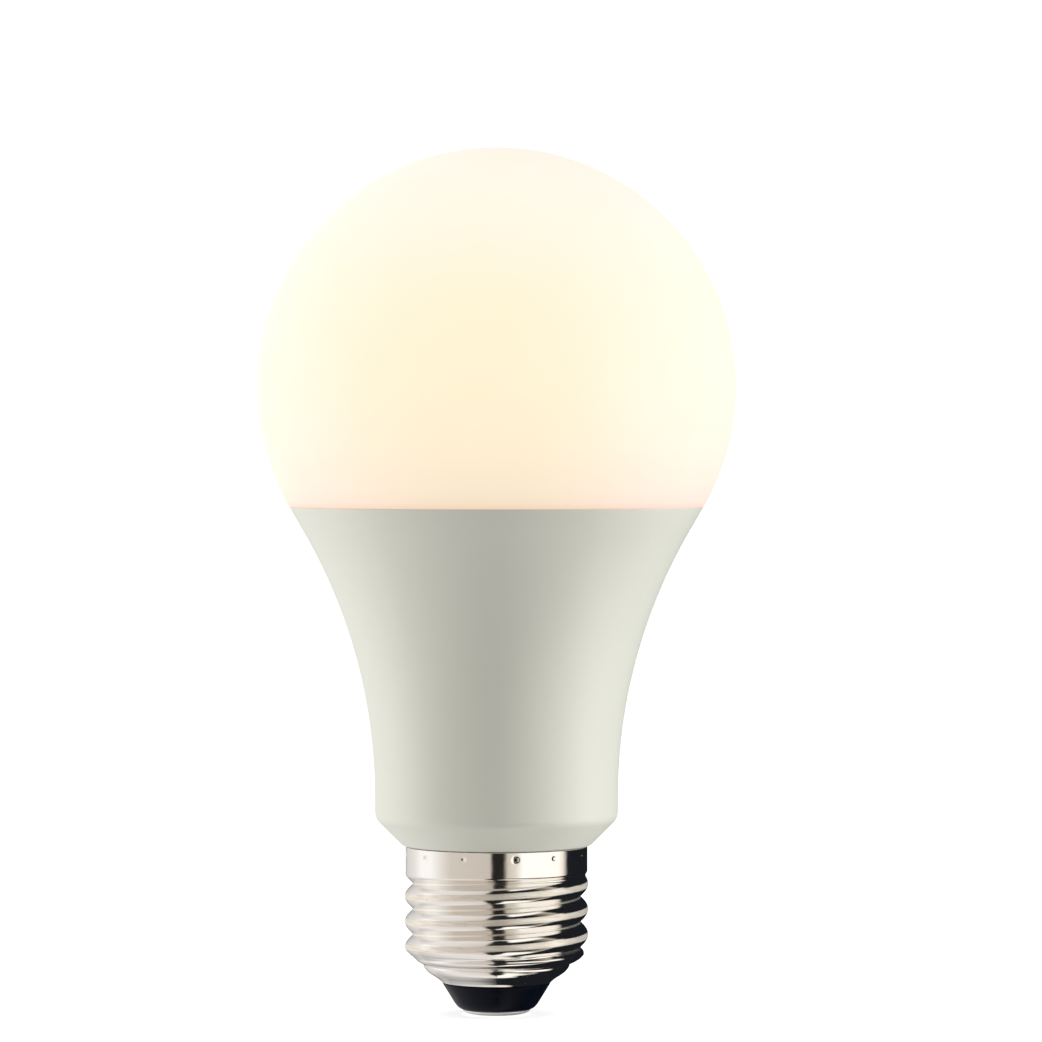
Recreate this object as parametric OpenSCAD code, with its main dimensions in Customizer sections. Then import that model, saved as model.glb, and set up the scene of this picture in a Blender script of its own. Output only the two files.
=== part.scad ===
// Smart light bulb: a frosted globe on a flared plastic housing, with an E26 screw cap.
// Millimetres, +Z up. The origin is on the axis, at the lowest face of the centre contact.

/* [Globe] */
// Height of the whole bulb
bulb_h = 123.6; // [122:0.2:126]
// Outer diameter of the globe
globe_d = 68.2; // [67:0.2:70]
// Wall of the globe
globe_wall = 1.3; // [1:0.1:1.5]

/* [Housing] */
// Angle of the housing's rim from the vertical, where it is tangent to the globe
flare_angle = 30; // [29:0.5:31]
// Radius of the housing's flare, seen from the side
flare_radius = 75.5; // [73:0.5:77]
// Outer diameter of the neck
neck_d = 34.7; // [34.5:0.1:35.5]
// Outer diameter at the lower edge of the foot, which is a 45 degree chamfer
foot_d = 26.8; // [26.4:0.1:27.2]
// Wall of the housing
housing_wall = 1.6; // [1.4:0.1:1.7]

/* [Heat sink] */
// Wall of the drawn aluminium cup
sink_wall = 1; // [0.8:0.1:1]
// Thickness of the cup's top plate, which carries the LED board
sink_plate_t = 1.4; // [1.2:0.1:1.5]

/* [Screw cap] */
// Height of the cap's upper edge above the contact
cap_h = 24; // [23.5:0.1:24.5]
// Diameter over the thread's crests
thread_major_d = 26.2; // [26.05:0.05:26.3]
// Diameter in the thread's grooves
thread_minor_d = 24.4; // [24.3:0.05:24.9]
// Rise of the thread in one turn: seven turns to the inch
thread_pitch = 3.629; // [3.6:0.001:3.65]
// Outer diameter of the plain skirt above the thread
skirt_d = 25.96; // [25.9:0.02:26]
// Height of the plain skirt
skirt_h = 3.5; // [3.3:0.1:3.7]
// Thickness of the cap's sheet metal
cap_wall = 0.3; // [0.25:0.05:0.3]
// Diameter of the shell's lower edge, where the insulator comes out
cap_mouth_d = 15.6; // [15.4:0.1:15.8]
// Diameter of the centre contact
contact_d = 9.6; // [9.2:0.1:9.8]

/* [LED board] */
// Diameter of the LED board
led_board_d = 49.6; // [49.4:0.1:49.8]
// Thickness of the LED board
led_board_t = 1.6; // [1.4:0.1:1.6]
// White LEDs, which alternate between warm and cool
white_leds = 18; // [18, 12]
// Colour LEDs, which repeat red, green and blue
colour_leds = 12; // [9, 12]

/* [Driver board] */
// Width of the driver board above the cap
driver_w = 27.8; // [27:0.1:28]
// Width of the tongue that reaches down into the cap
tongue_w = 17.6; // [17:0.1:18]
// Thickness of the driver board
driver_t = 1.2; // [1:0.1:1.2]

/* [Hidden] */
$fn = 48;

// Facets of the large round faces, of the arcs they are cut from, and of small holes
round_fn = 180;
arc_fn = 360;
hole_fn = 24;
// Small overlap that makes a cut clean
cut = 0.1;
// Slide fit between pieces that only touch
gap = 0.1;
// Size of the ball in a wire's bend, against the wire
bend_share = 1.06;

// Globe and seam
globe_r = globe_d / 2;
globe_z = bulb_h - globe_r;
seam_z = globe_z - globe_r * sin(flare_angle);
seam_r = globe_r * cos(flare_angle);
globe_lip_r = 26.2;
globe_lip_wall = 1;
globe_lip_h = 2.4;
globe_ledge_t = 1.2;
adhesive_h = 1.5;

// Housing: a 45 degree foot, a straight neck, then an arc and a straight rim tangent to the globe
neck_r = neck_d / 2;
foot_r = foot_d / 2;
foot_z = cap_h + gap;
foot_top_z = foot_z + neck_r - foot_r;
rim_length_z = (seam_r - neck_r - flare_radius * (1 - cos(flare_angle))) / tan(flare_angle);
neck_top_z = seam_z - rim_length_z - flare_radius * sin(flare_angle);
arc_centre = [neck_r + flare_radius, neck_top_z];
floor_z = 26.6;
neck_in_r = neck_r - housing_wall;
floor_r = foot_r + floor_z - foot_z - housing_wall * sqrt(2);
floor_chamfer_z = floor_z + neck_in_r - floor_r;
collar_bore_r = 10.4;
collar_top_r = 12.55;
collar_low_r = 11.7;
collar_low_z = 12.4;
// How far the guides reach over the driver board's edges, and the cheek on each side of the board
guide_bite = 2.05;
guide_cheek = 1.5;

// Heat sink and LED board
sink_top_z = 69;
sink_low_z = 33;
paste_t = 0.15;
paste_margin = 0.4;
led_board_z = sink_top_z + paste_t;
led_face_z = led_board_z + led_board_t;
led_size = [3.5, 2.8, 0.7];
white_ring_r = 17.5;
colour_ring_r = 12.5;
screw_ring_r = 21;
screw_count = 3;
screw_first_angle = 10;
screw_d = 2.5;
screw_head_r = 2.2;
screw_head_h = 1.6;
screw_l = 5;

// Driver board: it stands in the XZ plane, a little behind the axis
driver_front_y = 2;
driver_back_y = driver_front_y + driver_t;
driver_top_z = 63;
driver_low_z = 27.6;
tongue_low_z = 13.5;
lead_d = 0.6;
lead_hole_d = 0.9;
lead_start_y = driver_front_y - 0.6;
lead_end_y = driver_back_y + 0.8;

// Components on the driver board: [x, z] places, sizes, and distances between their leads
bulk_cap_d = 9;
bulk_cap_h = 13.4;
bulk_cap_y = -3.3;
bulk_cap_z = 12.6;
bulk_cap_apart = 3.5;
bulk_lead_z = 28.6;
output_cap_at = [10.8, 46];
output_cap_d = 8;
output_cap_h = 11.5;
output_cap_y = -2.2;
output_cap_apart = 3.5;
supply_cap_at = [-10.4, 47];
supply_cap_d = 5;
supply_cap_h = 9;
supply_cap_y = -0.8;
supply_cap_apart = 2;
can_lead_drop = 1.6;
film_at = [4.5, 33];
film_size = [10, 5, 8.5];
film_apart = 7.5;
choke_at = [-8.2, 33.5];
choke_d = 7;
choke_h = 8.6;
choke_flange_h = 1;
choke_apart = 3;
varistor_at = [-7.5, 41];
varistor_d = 7.5;
varistor_t = 3.6;
varistor_lift = 0.8;
varistor_apart = 5;
resistor_at = [4.5, 39.8];
resistor_l = 9;
resistor_d = 3.6;
resistor_lead_run = 1.2;
transformer_at = [0, 50.6];
core_size = [13, 6, 12];
core_leg = 3.4;
core_side = 1.8;
core_yoke = 2.3;
bobbin_wall = 0.6;
bobbin_flange_t = 0.7;
bobbin_half_depth = 6;
bobbin_pins_apart = [6.4, 9.6];
rail_h = 1.2;
rail_w = 2.4;
bridge_at = [-4.5, 33];
bridge_size = [4.7, 3.9, 1.5];
bridge_pitch = 2.54;
driver_chip_at = [5, 40];
driver_chip_size = [4.9, 3.9, 1.5];
colour_chip_at = [-3, 49];
colour_chip_size = [9.9, 3.9, 1.5];
chip_pitch = 1.27;
diode_at = [9, 50];
diode_size = [4.3, 2.6, 2];

// Pin header between the driver board and the LED board
header_pins_n = 5;
header_pitch = 2.54;
header_y = 0.7;
header_low_z = 60.4;
header_size = 2.54;
pin_d = 0.64;
pin_below = 0.8;
pin_above = 1;

// Wireless module: an upright board whose upper end stands above the LED board
module_front_y = 6.2;
module_t = 0.8;
module_back_y = module_front_y + module_t;
module_w = 12;
module_low_z = 56;
module_top_z = 80;
module_row_z = 57.4;
module_pins_n = 6;
module_pitch = 2;
module_pin_end = 0.5;
spacer_h = 2.2;
shield_size = [10.6, 8.4, 1.8];
shield_wall = 0.2;
shield_z = 63;
wireless_chip_x = -1.6;
wireless_chip_size = [5, 5, 0.85];
crystal_x = 3.2;
crystal_size = [2, 2.5, 0.6];

// Leads in the cap
wire_d = 1.4;
wire_x = 6;
wire_y = driver_back_y + 0.9;
wire_board_z = 19.5;
wire_bend_z = 12.4;
shell_joint_r = 10.55;
shell_joint_angle = 34.4;
shell_joint_z = 11;
shell_blob_r = 1.2;
contact_blob_r = 1.3;

// Screw cap
skirt_r = skirt_d / 2;
skirt_z = cap_h - skirt_h;
crest_r = thread_major_d / 2;
thread_depth = (thread_major_d - thread_minor_d) / 2;
mouth_r = cap_mouth_d / 2;
mouth_z = 4.6;
cone_top_z = 9.6;
cone_slope = (crest_r - mouth_r) / (cone_top_z - mouth_z);
// Height of one crest at the +X side of the cap
crest_at_x_z = 15.05;
// Heights between which the groove grows at the bottom and fades into the skirt at the top
groove_start_z = [7.2, 10.4];
groove_end_z = [19.4, skirt_z];
thread_sides = 48;
thread_rings = 40;
// The thread's sheet is this much thinner on each face where its upper edge runs into the skirt's
tuck = 0.03;
tuck_h = 0.3;

// Centre contact
contact_r = contact_d / 2;
contact_head_t = 0.7;
pin_r = 1;
pin_top_z = 8.6;
sleeve_wall = 0.45;
sleeve_z = [1, 8];
insulator_top_z = 7.4;

function smooth(x) = let (t = max(0, min(1, x))) t * t * (3 - 2 * t);
function between(z, range) = (z - range[0]) / (range[1] - range[0]);

// Radius over the crests at height z: the mouth's cone, then the thread, then the skirt
function crest_envelope(z) =
    z < cone_top_z ? mouth_r + (z - mouth_z) * cone_slope
    : crest_r + (skirt_r - tuck - crest_r) * smooth(between(z, groove_end_z));
function groove_share(z) = smooth(between(z, groove_start_z)) * (1 - smooth(between(z, groove_end_z)));
function thread_wave(z, a) = (1 - cos(360 * (z - crest_at_x_z) / thread_pitch - a)) / 2;
function shell_r(z, a) = crest_envelope(z) - thread_depth * groove_share(z) * thread_wave(z, a);
// The sheet is as thick on the cone as it is on the thread
function shell_wall(z) =
    z < cone_top_z ? cap_wall * sqrt(1 + cone_slope * cone_slope)
    : cap_wall - 2 * tuck * smooth(between(z, groove_end_z));
function ring_point(r, a, z) = [r * cos(a), r * sin(a), z];

// Area inside the housing's outer face in the XZ half plane, moved inwards by inset
module flank_area(inset, low, high) {
    arc_r = flare_radius + inset;
    arc_end = arc_centre + arc_r * [-cos(flare_angle), sin(flare_angle)];
    rim_r = arc_end.x + (seam_z - arc_end.y) * tan(flare_angle);
    intersection() {
        difference() {
            polygon([
                [0, foot_z], [neck_r - inset, foot_z], [neck_r - inset, neck_top_z],
                arc_end, [rim_r, seam_z], [0, seam_z]
            ]);
            translate(arc_centre) circle(r = arc_r, $fn = arc_fn);
        }
        translate([0, low]) square([globe_r, high - low]);
    }
}

// Straight round rod from one point to another
module rod(from, to, d) {
    way = to - from;
    translate(from)
        rotate([0, acos(way.z / norm(way)), atan2(way.y, way.x)])
            cylinder(h = norm(way), d = d);
}

// Round wire along a path, with a slightly larger ball in each bend
module wire(path, d) {
    for (i = [0 : len(path) - 2]) rod(path[i], path[i + 1], d);
    for (i = [1 : len(path) - 2]) translate(path[i]) sphere(d = bend_share * d);
}

module tube(h, outer_r, inner_r) {
    difference() {
        cylinder(h = h, r = outer_r);
        translate([0, 0, -cut]) cylinder(h = h + 2 * cut, r = inner_r);
    }
}

// Box centred in X and Y that stands on the XY plane
module block(size) translate([-size.x / 2, -size.y / 2, 0]) cube(size);

// Children are drawn with X along the driver board, Y up it and Z away from its front face
module on_front(at) translate([at[0], driver_front_y, at[1]]) rotate([90, 0, 0]) children();

// Children are drawn with X along the driver board, Y down it and Z away from its back face
module on_back(at) translate([at[0], driver_back_y, at[1]]) rotate([-90, 0, 0]) children();

// Children are repeated at a share of the places on a ring
module on_ring(r, count, first, step) {
    for (i = [first : step : count - 1]) rotate([0, 0, 360 * i / count]) translate([r, 0, 0]) children();
}

module at_screws() {
    for (i = [0 : screw_count - 1])
        rotate([0, 0, screw_first_angle + 360 * i / screw_count])
            translate([screw_ring_r, 0, 0]) children();
}

function header_x(i) = (i - (header_pins_n - 1) / 2) * header_pitch;
function module_x(i) = (i - (module_pins_n - 1) / 2) * module_pitch;

// Slots that the pin header and the wireless module pass through
module module_slot(low, high) {
    translate([-module_w / 2 - 4 * gap, module_front_y - 4 * gap, low])
        cube([module_w + 8 * gap, module_t + 8 * gap, high - low]);
}

module header_slot(low, high) {
    w = header_pins_n * header_pitch;
    translate([-w / 2, header_y - header_size / 2, low]) cube([w, header_size, high - low]);
}

// ---- Globe and housing ----

module globe() color("cornsilk") {
    inner_r = globe_r - globe_wall;
    rotate_extrude($fn = round_fn) {
        intersection() {
            translate([0, globe_z]) difference() {
                circle(r = globe_r, $fn = arc_fn);
                circle(r = inner_r, $fn = arc_fn);
            }
            translate([0, seam_z]) square([globe_d, globe_d]);
        }
        // Ledge that closes the lower edge inwards, and the lip that enters the housing
        difference() {
            intersection() {
                translate([0, globe_z]) circle(r = globe_r - globe_wall / 2, $fn = arc_fn);
                translate([0, seam_z]) square([globe_r, globe_ledge_t]);
            }
            translate([0, seam_z - cut]) square([globe_lip_r - globe_lip_wall, globe_ledge_t + 2 * cut]);
        }
        translate([globe_lip_r - globe_lip_wall, seam_z - globe_lip_h])
            square([globe_lip_wall, globe_lip_h + cut]);
    }
}

module globe_adhesive() color("white") {
    rotate_extrude($fn = round_fn)
        difference() {
            flank_area(housing_wall, seam_z - adhesive_h, seam_z - gap);
            translate([0, foot_z]) square([globe_lip_r, bulb_h]);
        }
}

// Half of the driver board's guide on one side of the neck
module board_guide(side) {
    guide_h = sink_low_z - 2 * gap - floor_z;
    into_wall = housing_wall / 2;
    size = [neck_r - driver_w / 2 + guide_bite, driver_t + 2 * guide_cheek, guide_h + cut];
    difference() {
        intersection() {
            translate([side * (neck_r - size.x / 2), driver_front_y + driver_t / 2, floor_z - cut])
                block(size);
            rotate_extrude() polygon([
                [0, floor_z - cut], [floor_r + into_wall, floor_z - cut],
                [neck_in_r + into_wall, floor_chamfer_z - cut], [neck_in_r + into_wall, sink_low_z],
                [0, sink_low_z]
            ]);
        }
        translate([-driver_w / 2 - gap, driver_front_y - gap / 2, floor_z])
            cube([driver_w + 2 * gap, driver_t + gap, guide_h + cut]);
    }
}

module housing() color("gainsboro") {
    rotate_extrude($fn = round_fn)
        difference() {
            union() {
                flank_area(0, foot_top_z, seam_z);
                polygon([[0, foot_z], [foot_r, foot_z], [neck_r, foot_top_z], [0, foot_top_z]]);
                translate([0, skirt_z + gap]) square([collar_top_r, foot_z - skirt_z]);
                translate([0, collar_low_z]) square([collar_low_r, foot_z - collar_low_z]);
            }
            flank_area(housing_wall, floor_chamfer_z, seam_z);
            polygon([
                [0, floor_z], [floor_r, floor_z], [neck_in_r, floor_chamfer_z],
                [neck_in_r, neck_top_z], [0, neck_top_z]
            ]);
            translate([0, collar_low_z - cut]) square([collar_bore_r, floor_z]);
            translate([0, seam_z - cut]) square([seam_r - housing_wall, 2 * cut]);
        }
    for (side = [-1, 1]) board_guide(side);
}

// ---- Light engine ----

module heat_sink() color("silver") {
    difference() {
        rotate_extrude($fn = round_fn)
            difference() {
                flank_area(housing_wall, sink_low_z, sink_top_z);
                flank_area(housing_wall + sink_wall, sink_low_z - cut, sink_top_z - sink_plate_t);
            }
        module_slot(sink_top_z - sink_plate_t - cut, sink_top_z + cut);
        header_slot(sink_top_z - sink_plate_t - cut, sink_top_z + cut);
        at_screws() translate([0, 0, sink_top_z - sink_plate_t - cut])
            cylinder(h = sink_plate_t + 2 * cut, d = screw_d);
    }
}

module thermal_paste() color("lightgray") {
    difference() {
        translate([0, 0, sink_top_z])
            cylinder(h = paste_t, d = led_board_d - 2 * paste_margin, $fn = round_fn);
        module_slot(sink_top_z - cut, led_board_z + cut);
        header_slot(sink_top_z - cut, led_board_z + cut);
        at_screws() translate([0, 0, sink_top_z - cut])
            cylinder(h = paste_t + 2 * cut, d = screw_d + 4 * gap);
    }
}

module led_board() color("whitesmoke") {
    difference() {
        translate([0, 0, led_board_z]) cylinder(h = led_board_t, d = led_board_d, $fn = round_fn);
        module_slot(led_board_z - cut, led_face_z + cut);
        for (i = [0 : header_pins_n - 1])
            translate([header_x(i), header_y, led_board_z - cut])
                cylinder(h = led_board_t + 2 * cut, d = pin_d + 4 * gap);
        at_screws() translate([0, 0, led_board_z - cut])
            cylinder(h = led_board_t + 2 * cut, d = screw_d + 2 * gap);
    }
}

module led_board_screws() color("lightsteelblue") {
    recess = [0.6, 2.4, 0.9];
    at_screws() difference() {
        union() {
            translate([0, 0, led_face_z]) cylinder(h = screw_head_h, r = screw_head_r);
            translate([0, 0, led_face_z - screw_l])
                cylinder(h = screw_l + cut, d = screw_d - gap / 2);
        }
        for (turn = [0, 90])
            translate([0, 0, led_face_z + screw_head_h - recess.z + cut])
                rotate([0, 0, turn]) block(recess);
    }
}

// One surface-mount LED, long side along the ring
module led() translate([0, 0, led_face_z]) rotate([0, 0, 90]) block(led_size);

module warm_white_leds() color("gold") on_ring(white_ring_r, white_leds, 0, 2) led();

module cool_white_leds() color("khaki") on_ring(white_ring_r, white_leds, 1, 2) led();

module red_leds() color("tomato") on_ring(colour_ring_r, colour_leds, 0, 3) led();

module green_leds() color("limegreen") on_ring(colour_ring_r, colour_leds, 1, 3) led();

module blue_leds() color("royalblue") on_ring(colour_ring_r, colour_leds, 2, 3) led();

// ---- Header between the boards ----

module pin_header() color("dimgray") {
    w = header_pins_n * header_pitch;
    difference() {
        translate([-w / 2, header_y - header_size / 2, header_low_z])
            cube([w, driver_front_y - header_y + header_size / 2, header_size]);
        for (i = [0 : header_pins_n - 1])
            translate([header_x(i), header_y, header_low_z - cut])
                cylinder(h = header_size + 2 * cut, d = pin_d);
    }
}

module header_pins() color("goldenrod") {
    for (i = [0 : header_pins_n - 1])
        translate([header_x(i), header_y, header_low_z - pin_below])
            cylinder(h = led_face_z + pin_above - header_low_z + pin_below, d = pin_d);
}

// ---- Driver board and its components ----

// Places on the driver board where a component's lead goes through, as [x, z]
function across(at, apart) = [for (s = [-1, 1]) at + [s * apart / 2, 0]];
output_cap_leads = across(output_cap_at - [0, can_lead_drop], output_cap_apart);
supply_cap_leads = across(supply_cap_at - [0, can_lead_drop], supply_cap_apart);
bulk_cap_leads = across([0, bulk_lead_z], bulk_cap_apart);
resistor_leads = across(resistor_at, resistor_l + 2 * resistor_lead_run);
film_leads = across(film_at, film_apart);
choke_leads = [for (s = [-1, 1]) choke_at + [0, s * choke_apart / 2]];
varistor_leads = across(varistor_at, varistor_apart);
transformer_leads = [
    for (sx = [-1, 1], sz = [-1, 1]) transformer_at + [sx * bobbin_pins_apart.x, sz * bobbin_pins_apart.y] / 2
];
mains_leads = [for (s = [-1, 1]) [s * wire_x, wire_board_z]];
module_leads = [for (i = [0 : module_pins_n - 1]) [module_x(i), module_row_z]];
all_leads = concat(
    output_cap_leads, supply_cap_leads, bulk_cap_leads, resistor_leads, film_leads, choke_leads,
    varistor_leads, transformer_leads, mains_leads, module_leads
);

module driver_board() color("seagreen") {
    difference() {
        union() {
            translate([-driver_w / 2, driver_front_y, driver_low_z])
                cube([driver_w, driver_t, driver_top_z - driver_low_z]);
            translate([-tongue_w / 2, driver_front_y, tongue_low_z])
                cube([tongue_w, driver_t, driver_low_z - tongue_low_z + cut]);
        }
        for (at = all_leads)
            translate([at[0], driver_front_y - cut, at[1]])
                rotate([-90, 0, 0]) cylinder(h = driver_t + 2 * cut, d = lead_hole_d, $fn = hole_fn);
    }
}

// Straight leads from a component that stands on the board's front face
module straight_leads(leads, start) {
    for (at = leads) rod([at[0], start, at[1]], [at[0], lead_end_y, at[1]], lead_d);
}

// Upright can capacitor with a crimped foot; its leads bend back into the board
module can_capacitor(at, y, d, h, leads) {
    groove = 0.35;
    groove_low = 1.2;
    groove_h = 0.8;
    translate([at[0], y, at[1]]) rotate_extrude()
        polygon([
            [0, 0], [d / 2, 0], [d / 2, groove_low], [d / 2 - groove, groove_low + groove_h / 2],
            [d / 2, groove_low + groove_h], [d / 2, h - groove], [d / 2 - groove, h], [0, h]
        ]);
    for (lead = leads)
        wire([[lead[0], y, at[1] + cut], [lead[0], y, lead[1]], [lead[0], lead_end_y, lead[1]]], lead_d);
}

module bulk_capacitor() color("darkslategray") {
    top = bulk_cap_z + bulk_cap_h;
    // Its leads leave the upper end, so the can is drawn upside down
    translate([0, 0, top + bulk_cap_z]) mirror([0, 0, 1])
        can_capacitor(
            [0, bulk_cap_z], bulk_cap_y, bulk_cap_d, bulk_cap_h,
            [for (lead = bulk_cap_leads) [lead[0], top + bulk_cap_z - lead[1]]]
        );
}

module output_capacitor() color("midnightblue") {
    can_capacitor(output_cap_at, output_cap_y, output_cap_d, output_cap_h, output_cap_leads);
}

module supply_capacitor() color("indigo") {
    can_capacitor(supply_cap_at, supply_cap_y, supply_cap_d, supply_cap_h, supply_cap_leads);
}

module film_capacitor() color("firebrick") {
    on_front(film_at) block(film_size);
    straight_leads(film_leads, driver_front_y - cut);
}

module choke_core() color("darkgray") {
    on_front(choke_at) rotate_extrude()
        polygon([
            [0, 0], [choke_d / 2, 0], [choke_d / 2, choke_flange_h], [choke_d / 4, choke_flange_h],
            [choke_d / 4, choke_h - choke_flange_h], [choke_d / 2, choke_h - choke_flange_h],
            [choke_d / 2, choke_h], [0, choke_h]
        ]);
    straight_leads(choke_leads, driver_front_y - cut);
}

module choke_winding() color("peru") {
    below_flange = 0.3;
    on_front(choke_at) translate([0, 0, choke_flange_h])
        tube(choke_h - 2 * choke_flange_h, choke_d / 2 - below_flange, choke_d / 4);
}

module varistor() color("steelblue") {
    y = driver_front_y - varistor_lift - varistor_d / 2;
    translate([varistor_at[0], y, varistor_at[1] - varistor_t / 2])
        cylinder(h = varistor_t, d = varistor_d);
    straight_leads(varistor_leads, y);
}

module fusible_resistor() color("mediumseagreen") {
    y = driver_front_y - resistor_d / 2;
    end_w = 1.6;
    waist_d = 3.1;
    translate([resistor_at[0] - resistor_l / 2, y, resistor_at[1]]) rotate([0, 90, 0]) {
        cylinder(h = resistor_l, d = waist_d);
        for (z = [0, resistor_l - end_w]) translate([0, 0, z]) cylinder(h = end_w, d = resistor_d);
    }
    for (lead = resistor_leads)
        wire([[resistor_at[0], y, lead[1]], [lead[0], y, lead[1]], [lead[0], lead_end_y, lead[1]]], lead_d);
}

// The two E halves of the core make a frame with a leg through its middle
module transformer_core() color("slategray") {
    window = [core_size.x / 2 - core_side - core_leg / 2, core_size.y + 2 * cut, core_size.z - 2 * core_yoke];
    on_front(transformer_at) translate([0, 0, rail_h]) difference() {
        block(core_size);
        for (side = [-1, 1])
            translate([side * (core_leg + window.x) / 2, 0, core_yoke]) block(window);
    }
}

module transformer_bobbin() color("black") {
    inner = [core_leg + gap, core_size.y + gap];
    outer = inner + 2 * bobbin_wall * [1, 1];
    low = rail_h + core_yoke + gap / 2;
    h = core_size.z - 2 * core_yoke - gap;
    flange = [core_size.x - 2 * core_side - gap, 2 * bobbin_half_depth, bobbin_flange_t];
    rail = [flange.x, rail_w, low];
    on_front(transformer_at) difference() {
        union() {
            translate([0, 0, low]) block([outer.x, outer.y, h]);
            for (z = [low, low + h - flange.z]) translate([0, 0, z]) block(flange);
            for (side = [-1, 1])
                translate([0, side * (core_size.y / 2 + gap + rail.y / 2), 0]) block(rail + [0, 0, cut]);
        }
        translate([0, 0, low - cut]) block([inner.x, inner.y, h + 2 * cut]);
    }
    straight_leads(transformer_leads, driver_front_y - cut);
}

module transformer_winding() color("goldenrod") {
    inner = [core_leg + gap, core_size.y + gap] + 2 * bobbin_wall * [1, 1];
    outer = [core_size.x - 2 * core_side - 4 * gap, 2 * bobbin_half_depth - 4 * gap];
    low = rail_h + core_yoke + gap / 2 + bobbin_flange_t;
    h = core_size.z - 2 * core_yoke - gap - 2 * bobbin_flange_t;
    on_front(transformer_at) translate([0, 0, low]) difference() {
        block([outer.x, outer.y, h]);
        translate([0, 0, -cut]) block([inner.x, inner.y, h + 2 * cut]);
    }
}

// Moulded chip with a row of bent legs along each long side
module leaded_chip(size, legs, pitch) {
    leg = [0.4, 0.6, 0.2];
    translate([0, 0, leg.z / 2]) block(size);
    for (side = [-1, 1], i = [0 : legs - 1])
        translate([(i - (legs - 1) / 2) * pitch, side * (size.y / 2), 0]) {
            block([leg.x, 2 * leg.y, leg.z]);
            translate([0, side * leg.z / 2, 0]) block([leg.x, leg.z, size.z / 2]);
        }
}

module bridge_rectifier() color("dimgray") on_back(bridge_at) leaded_chip(bridge_size, 2, bridge_pitch);

module driver_chip() color("dimgray") on_back(driver_chip_at) leaded_chip(driver_chip_size, 4, chip_pitch);

module colour_driver_chip() color("dimgray")
    on_back(colour_chip_at) leaded_chip(colour_chip_size, 8, chip_pitch);

module output_diode() color("dimgray") on_back(diode_at) leaded_chip(diode_size, 1, chip_pitch);

module chip_resistors() color("black") {
    size = [2, 1.25, 0.5];
    left_x = [-10.8, -7.8, -4.8];
    left_z = [38, 43.6];
    right_x = [3.2, 6.2, 9.2];
    right_z = 35.4;
    for (x = left_x, z = left_z) on_back([x, z]) block(size);
    for (x = right_x) on_back([x, right_z]) block(size);
}

module chip_capacitors() color("burlywood") {
    size = [1.6, 0.8, 0.8];
    top_x = [-10.6, -7.8, -5, -2.2, 0.6];
    top_z = 53.2;
    low_x = [3.2, 6.2, 9.2];
    low_z = 30.4;
    for (x = top_x) on_back([x, top_z]) block(size);
    for (x = low_x) on_back([x, low_z]) block(size);
}

// ---- Wireless module ----

module wireless_board() color("darkgreen") {
    difference() {
        translate([-module_w / 2, module_front_y, module_low_z])
            cube([module_w, module_t, module_top_z - module_low_z]);
        for (i = [0 : module_pins_n - 1])
            translate([module_x(i), module_front_y - cut, module_row_z])
                rotate([-90, 0, 0]) cylinder(h = module_t + 2 * cut, d = lead_hole_d, $fn = hole_fn);
    }
}

module module_spacer() color("dimgray") {
    strip = [module_w, module_front_y - driver_back_y, spacer_h];
    difference() {
        translate([-strip.x / 2, driver_back_y, module_row_z - strip.z / 2]) cube(strip);
        for (i = [0 : module_pins_n - 1])
            translate([module_x(i), driver_back_y - cut, module_row_z])
                rotate([-90, 0, 0]) cylinder(h = strip.y + 2 * cut, d = lead_d);
    }
}

module module_pins() color("goldenrod") {
    for (i = [0 : module_pins_n - 1])
        rod(
            [module_x(i), lead_start_y, module_row_z],
            [module_x(i), module_back_y + module_pin_end, module_row_z], lead_d
        );
}

// Children are drawn with X along the module, Y down it and Z away from its face
module on_module(at) translate([at[0], module_back_y, at[1]]) rotate([-90, 0, 0]) children();

module wireless_chip() color("black") on_module([wireless_chip_x, shield_z]) block(wireless_chip_size);

module crystal() color("silver") on_module([crystal_x, shield_z]) block(crystal_size);

module module_shield() color("lightgray") {
    on_module([0, shield_z]) difference() {
        block(shield_size);
        translate([0, 0, -shield_wall]) block(shield_size - [2 * shield_wall, 2 * shield_wall, 0]);
    }
}

// Printed aerial: one strip that folds up the clear end of the module
module aerial_trace() color("orange") {
    strip_w = 0.5;
    strip_t = 0.1;
    runs = 6;
    run_l = 9;
    run_pitch = 1.2;
    low = 72.5;
    for (i = [0 : runs - 1])
        on_module([0, low + i * run_pitch]) block([run_l, strip_w, strip_t]);
    for (i = [0 : runs - 2])
        on_module([(i % 2 == 0 ? 1 : -1) * (run_l - strip_w) / 2, low + (i + 0.5) * run_pitch])
            block([strip_w, run_pitch, strip_t]);
}

// ---- Leads and joints in the cap ----

// Bare end through the driver board, then an insulated run down behind it
module mains_lead(side, run) {
    start = [side * wire_x, wire_y, wire_board_z];
    rod([start.x, lead_start_y, start.z], start, lead_d);
    translate(start) sphere(d = bend_share * wire_d);
    wire(concat([start], run), wire_d);
}

module live_lead() color("crimson") {
    joint_top = pin_top_z + contact_blob_r;
    bare_l = 0.8;
    bend_z = joint_top + 2 * bare_l;
    mains_lead(-1, [[-wire_x, wire_y, wire_bend_z], [0, 0, bend_z], [0, 0, joint_top + bare_l]]);
    rod([0, 0, joint_top], [0, 0, bend_z], lead_d);
}

module neutral_lead() color("white") {
    joint = ring_point(shell_joint_r - shell_blob_r - gap / 2, shell_joint_angle, shell_joint_z);
    bare_l = 2.5;
    rise = 0.5;
    strip = ring_point(shell_joint_r - bare_l, shell_joint_angle, shell_joint_z + rise);
    mains_lead(1, [[wire_x, wire_y, wire_bend_z], strip]);
    rod(strip, joint, lead_d);
}

module contact_solder() color("silver") {
    translate([0, 0, pin_top_z]) intersection() {
        sphere(r = contact_blob_r);
        cylinder(h = contact_blob_r, r = contact_blob_r);
    }
}

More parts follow.
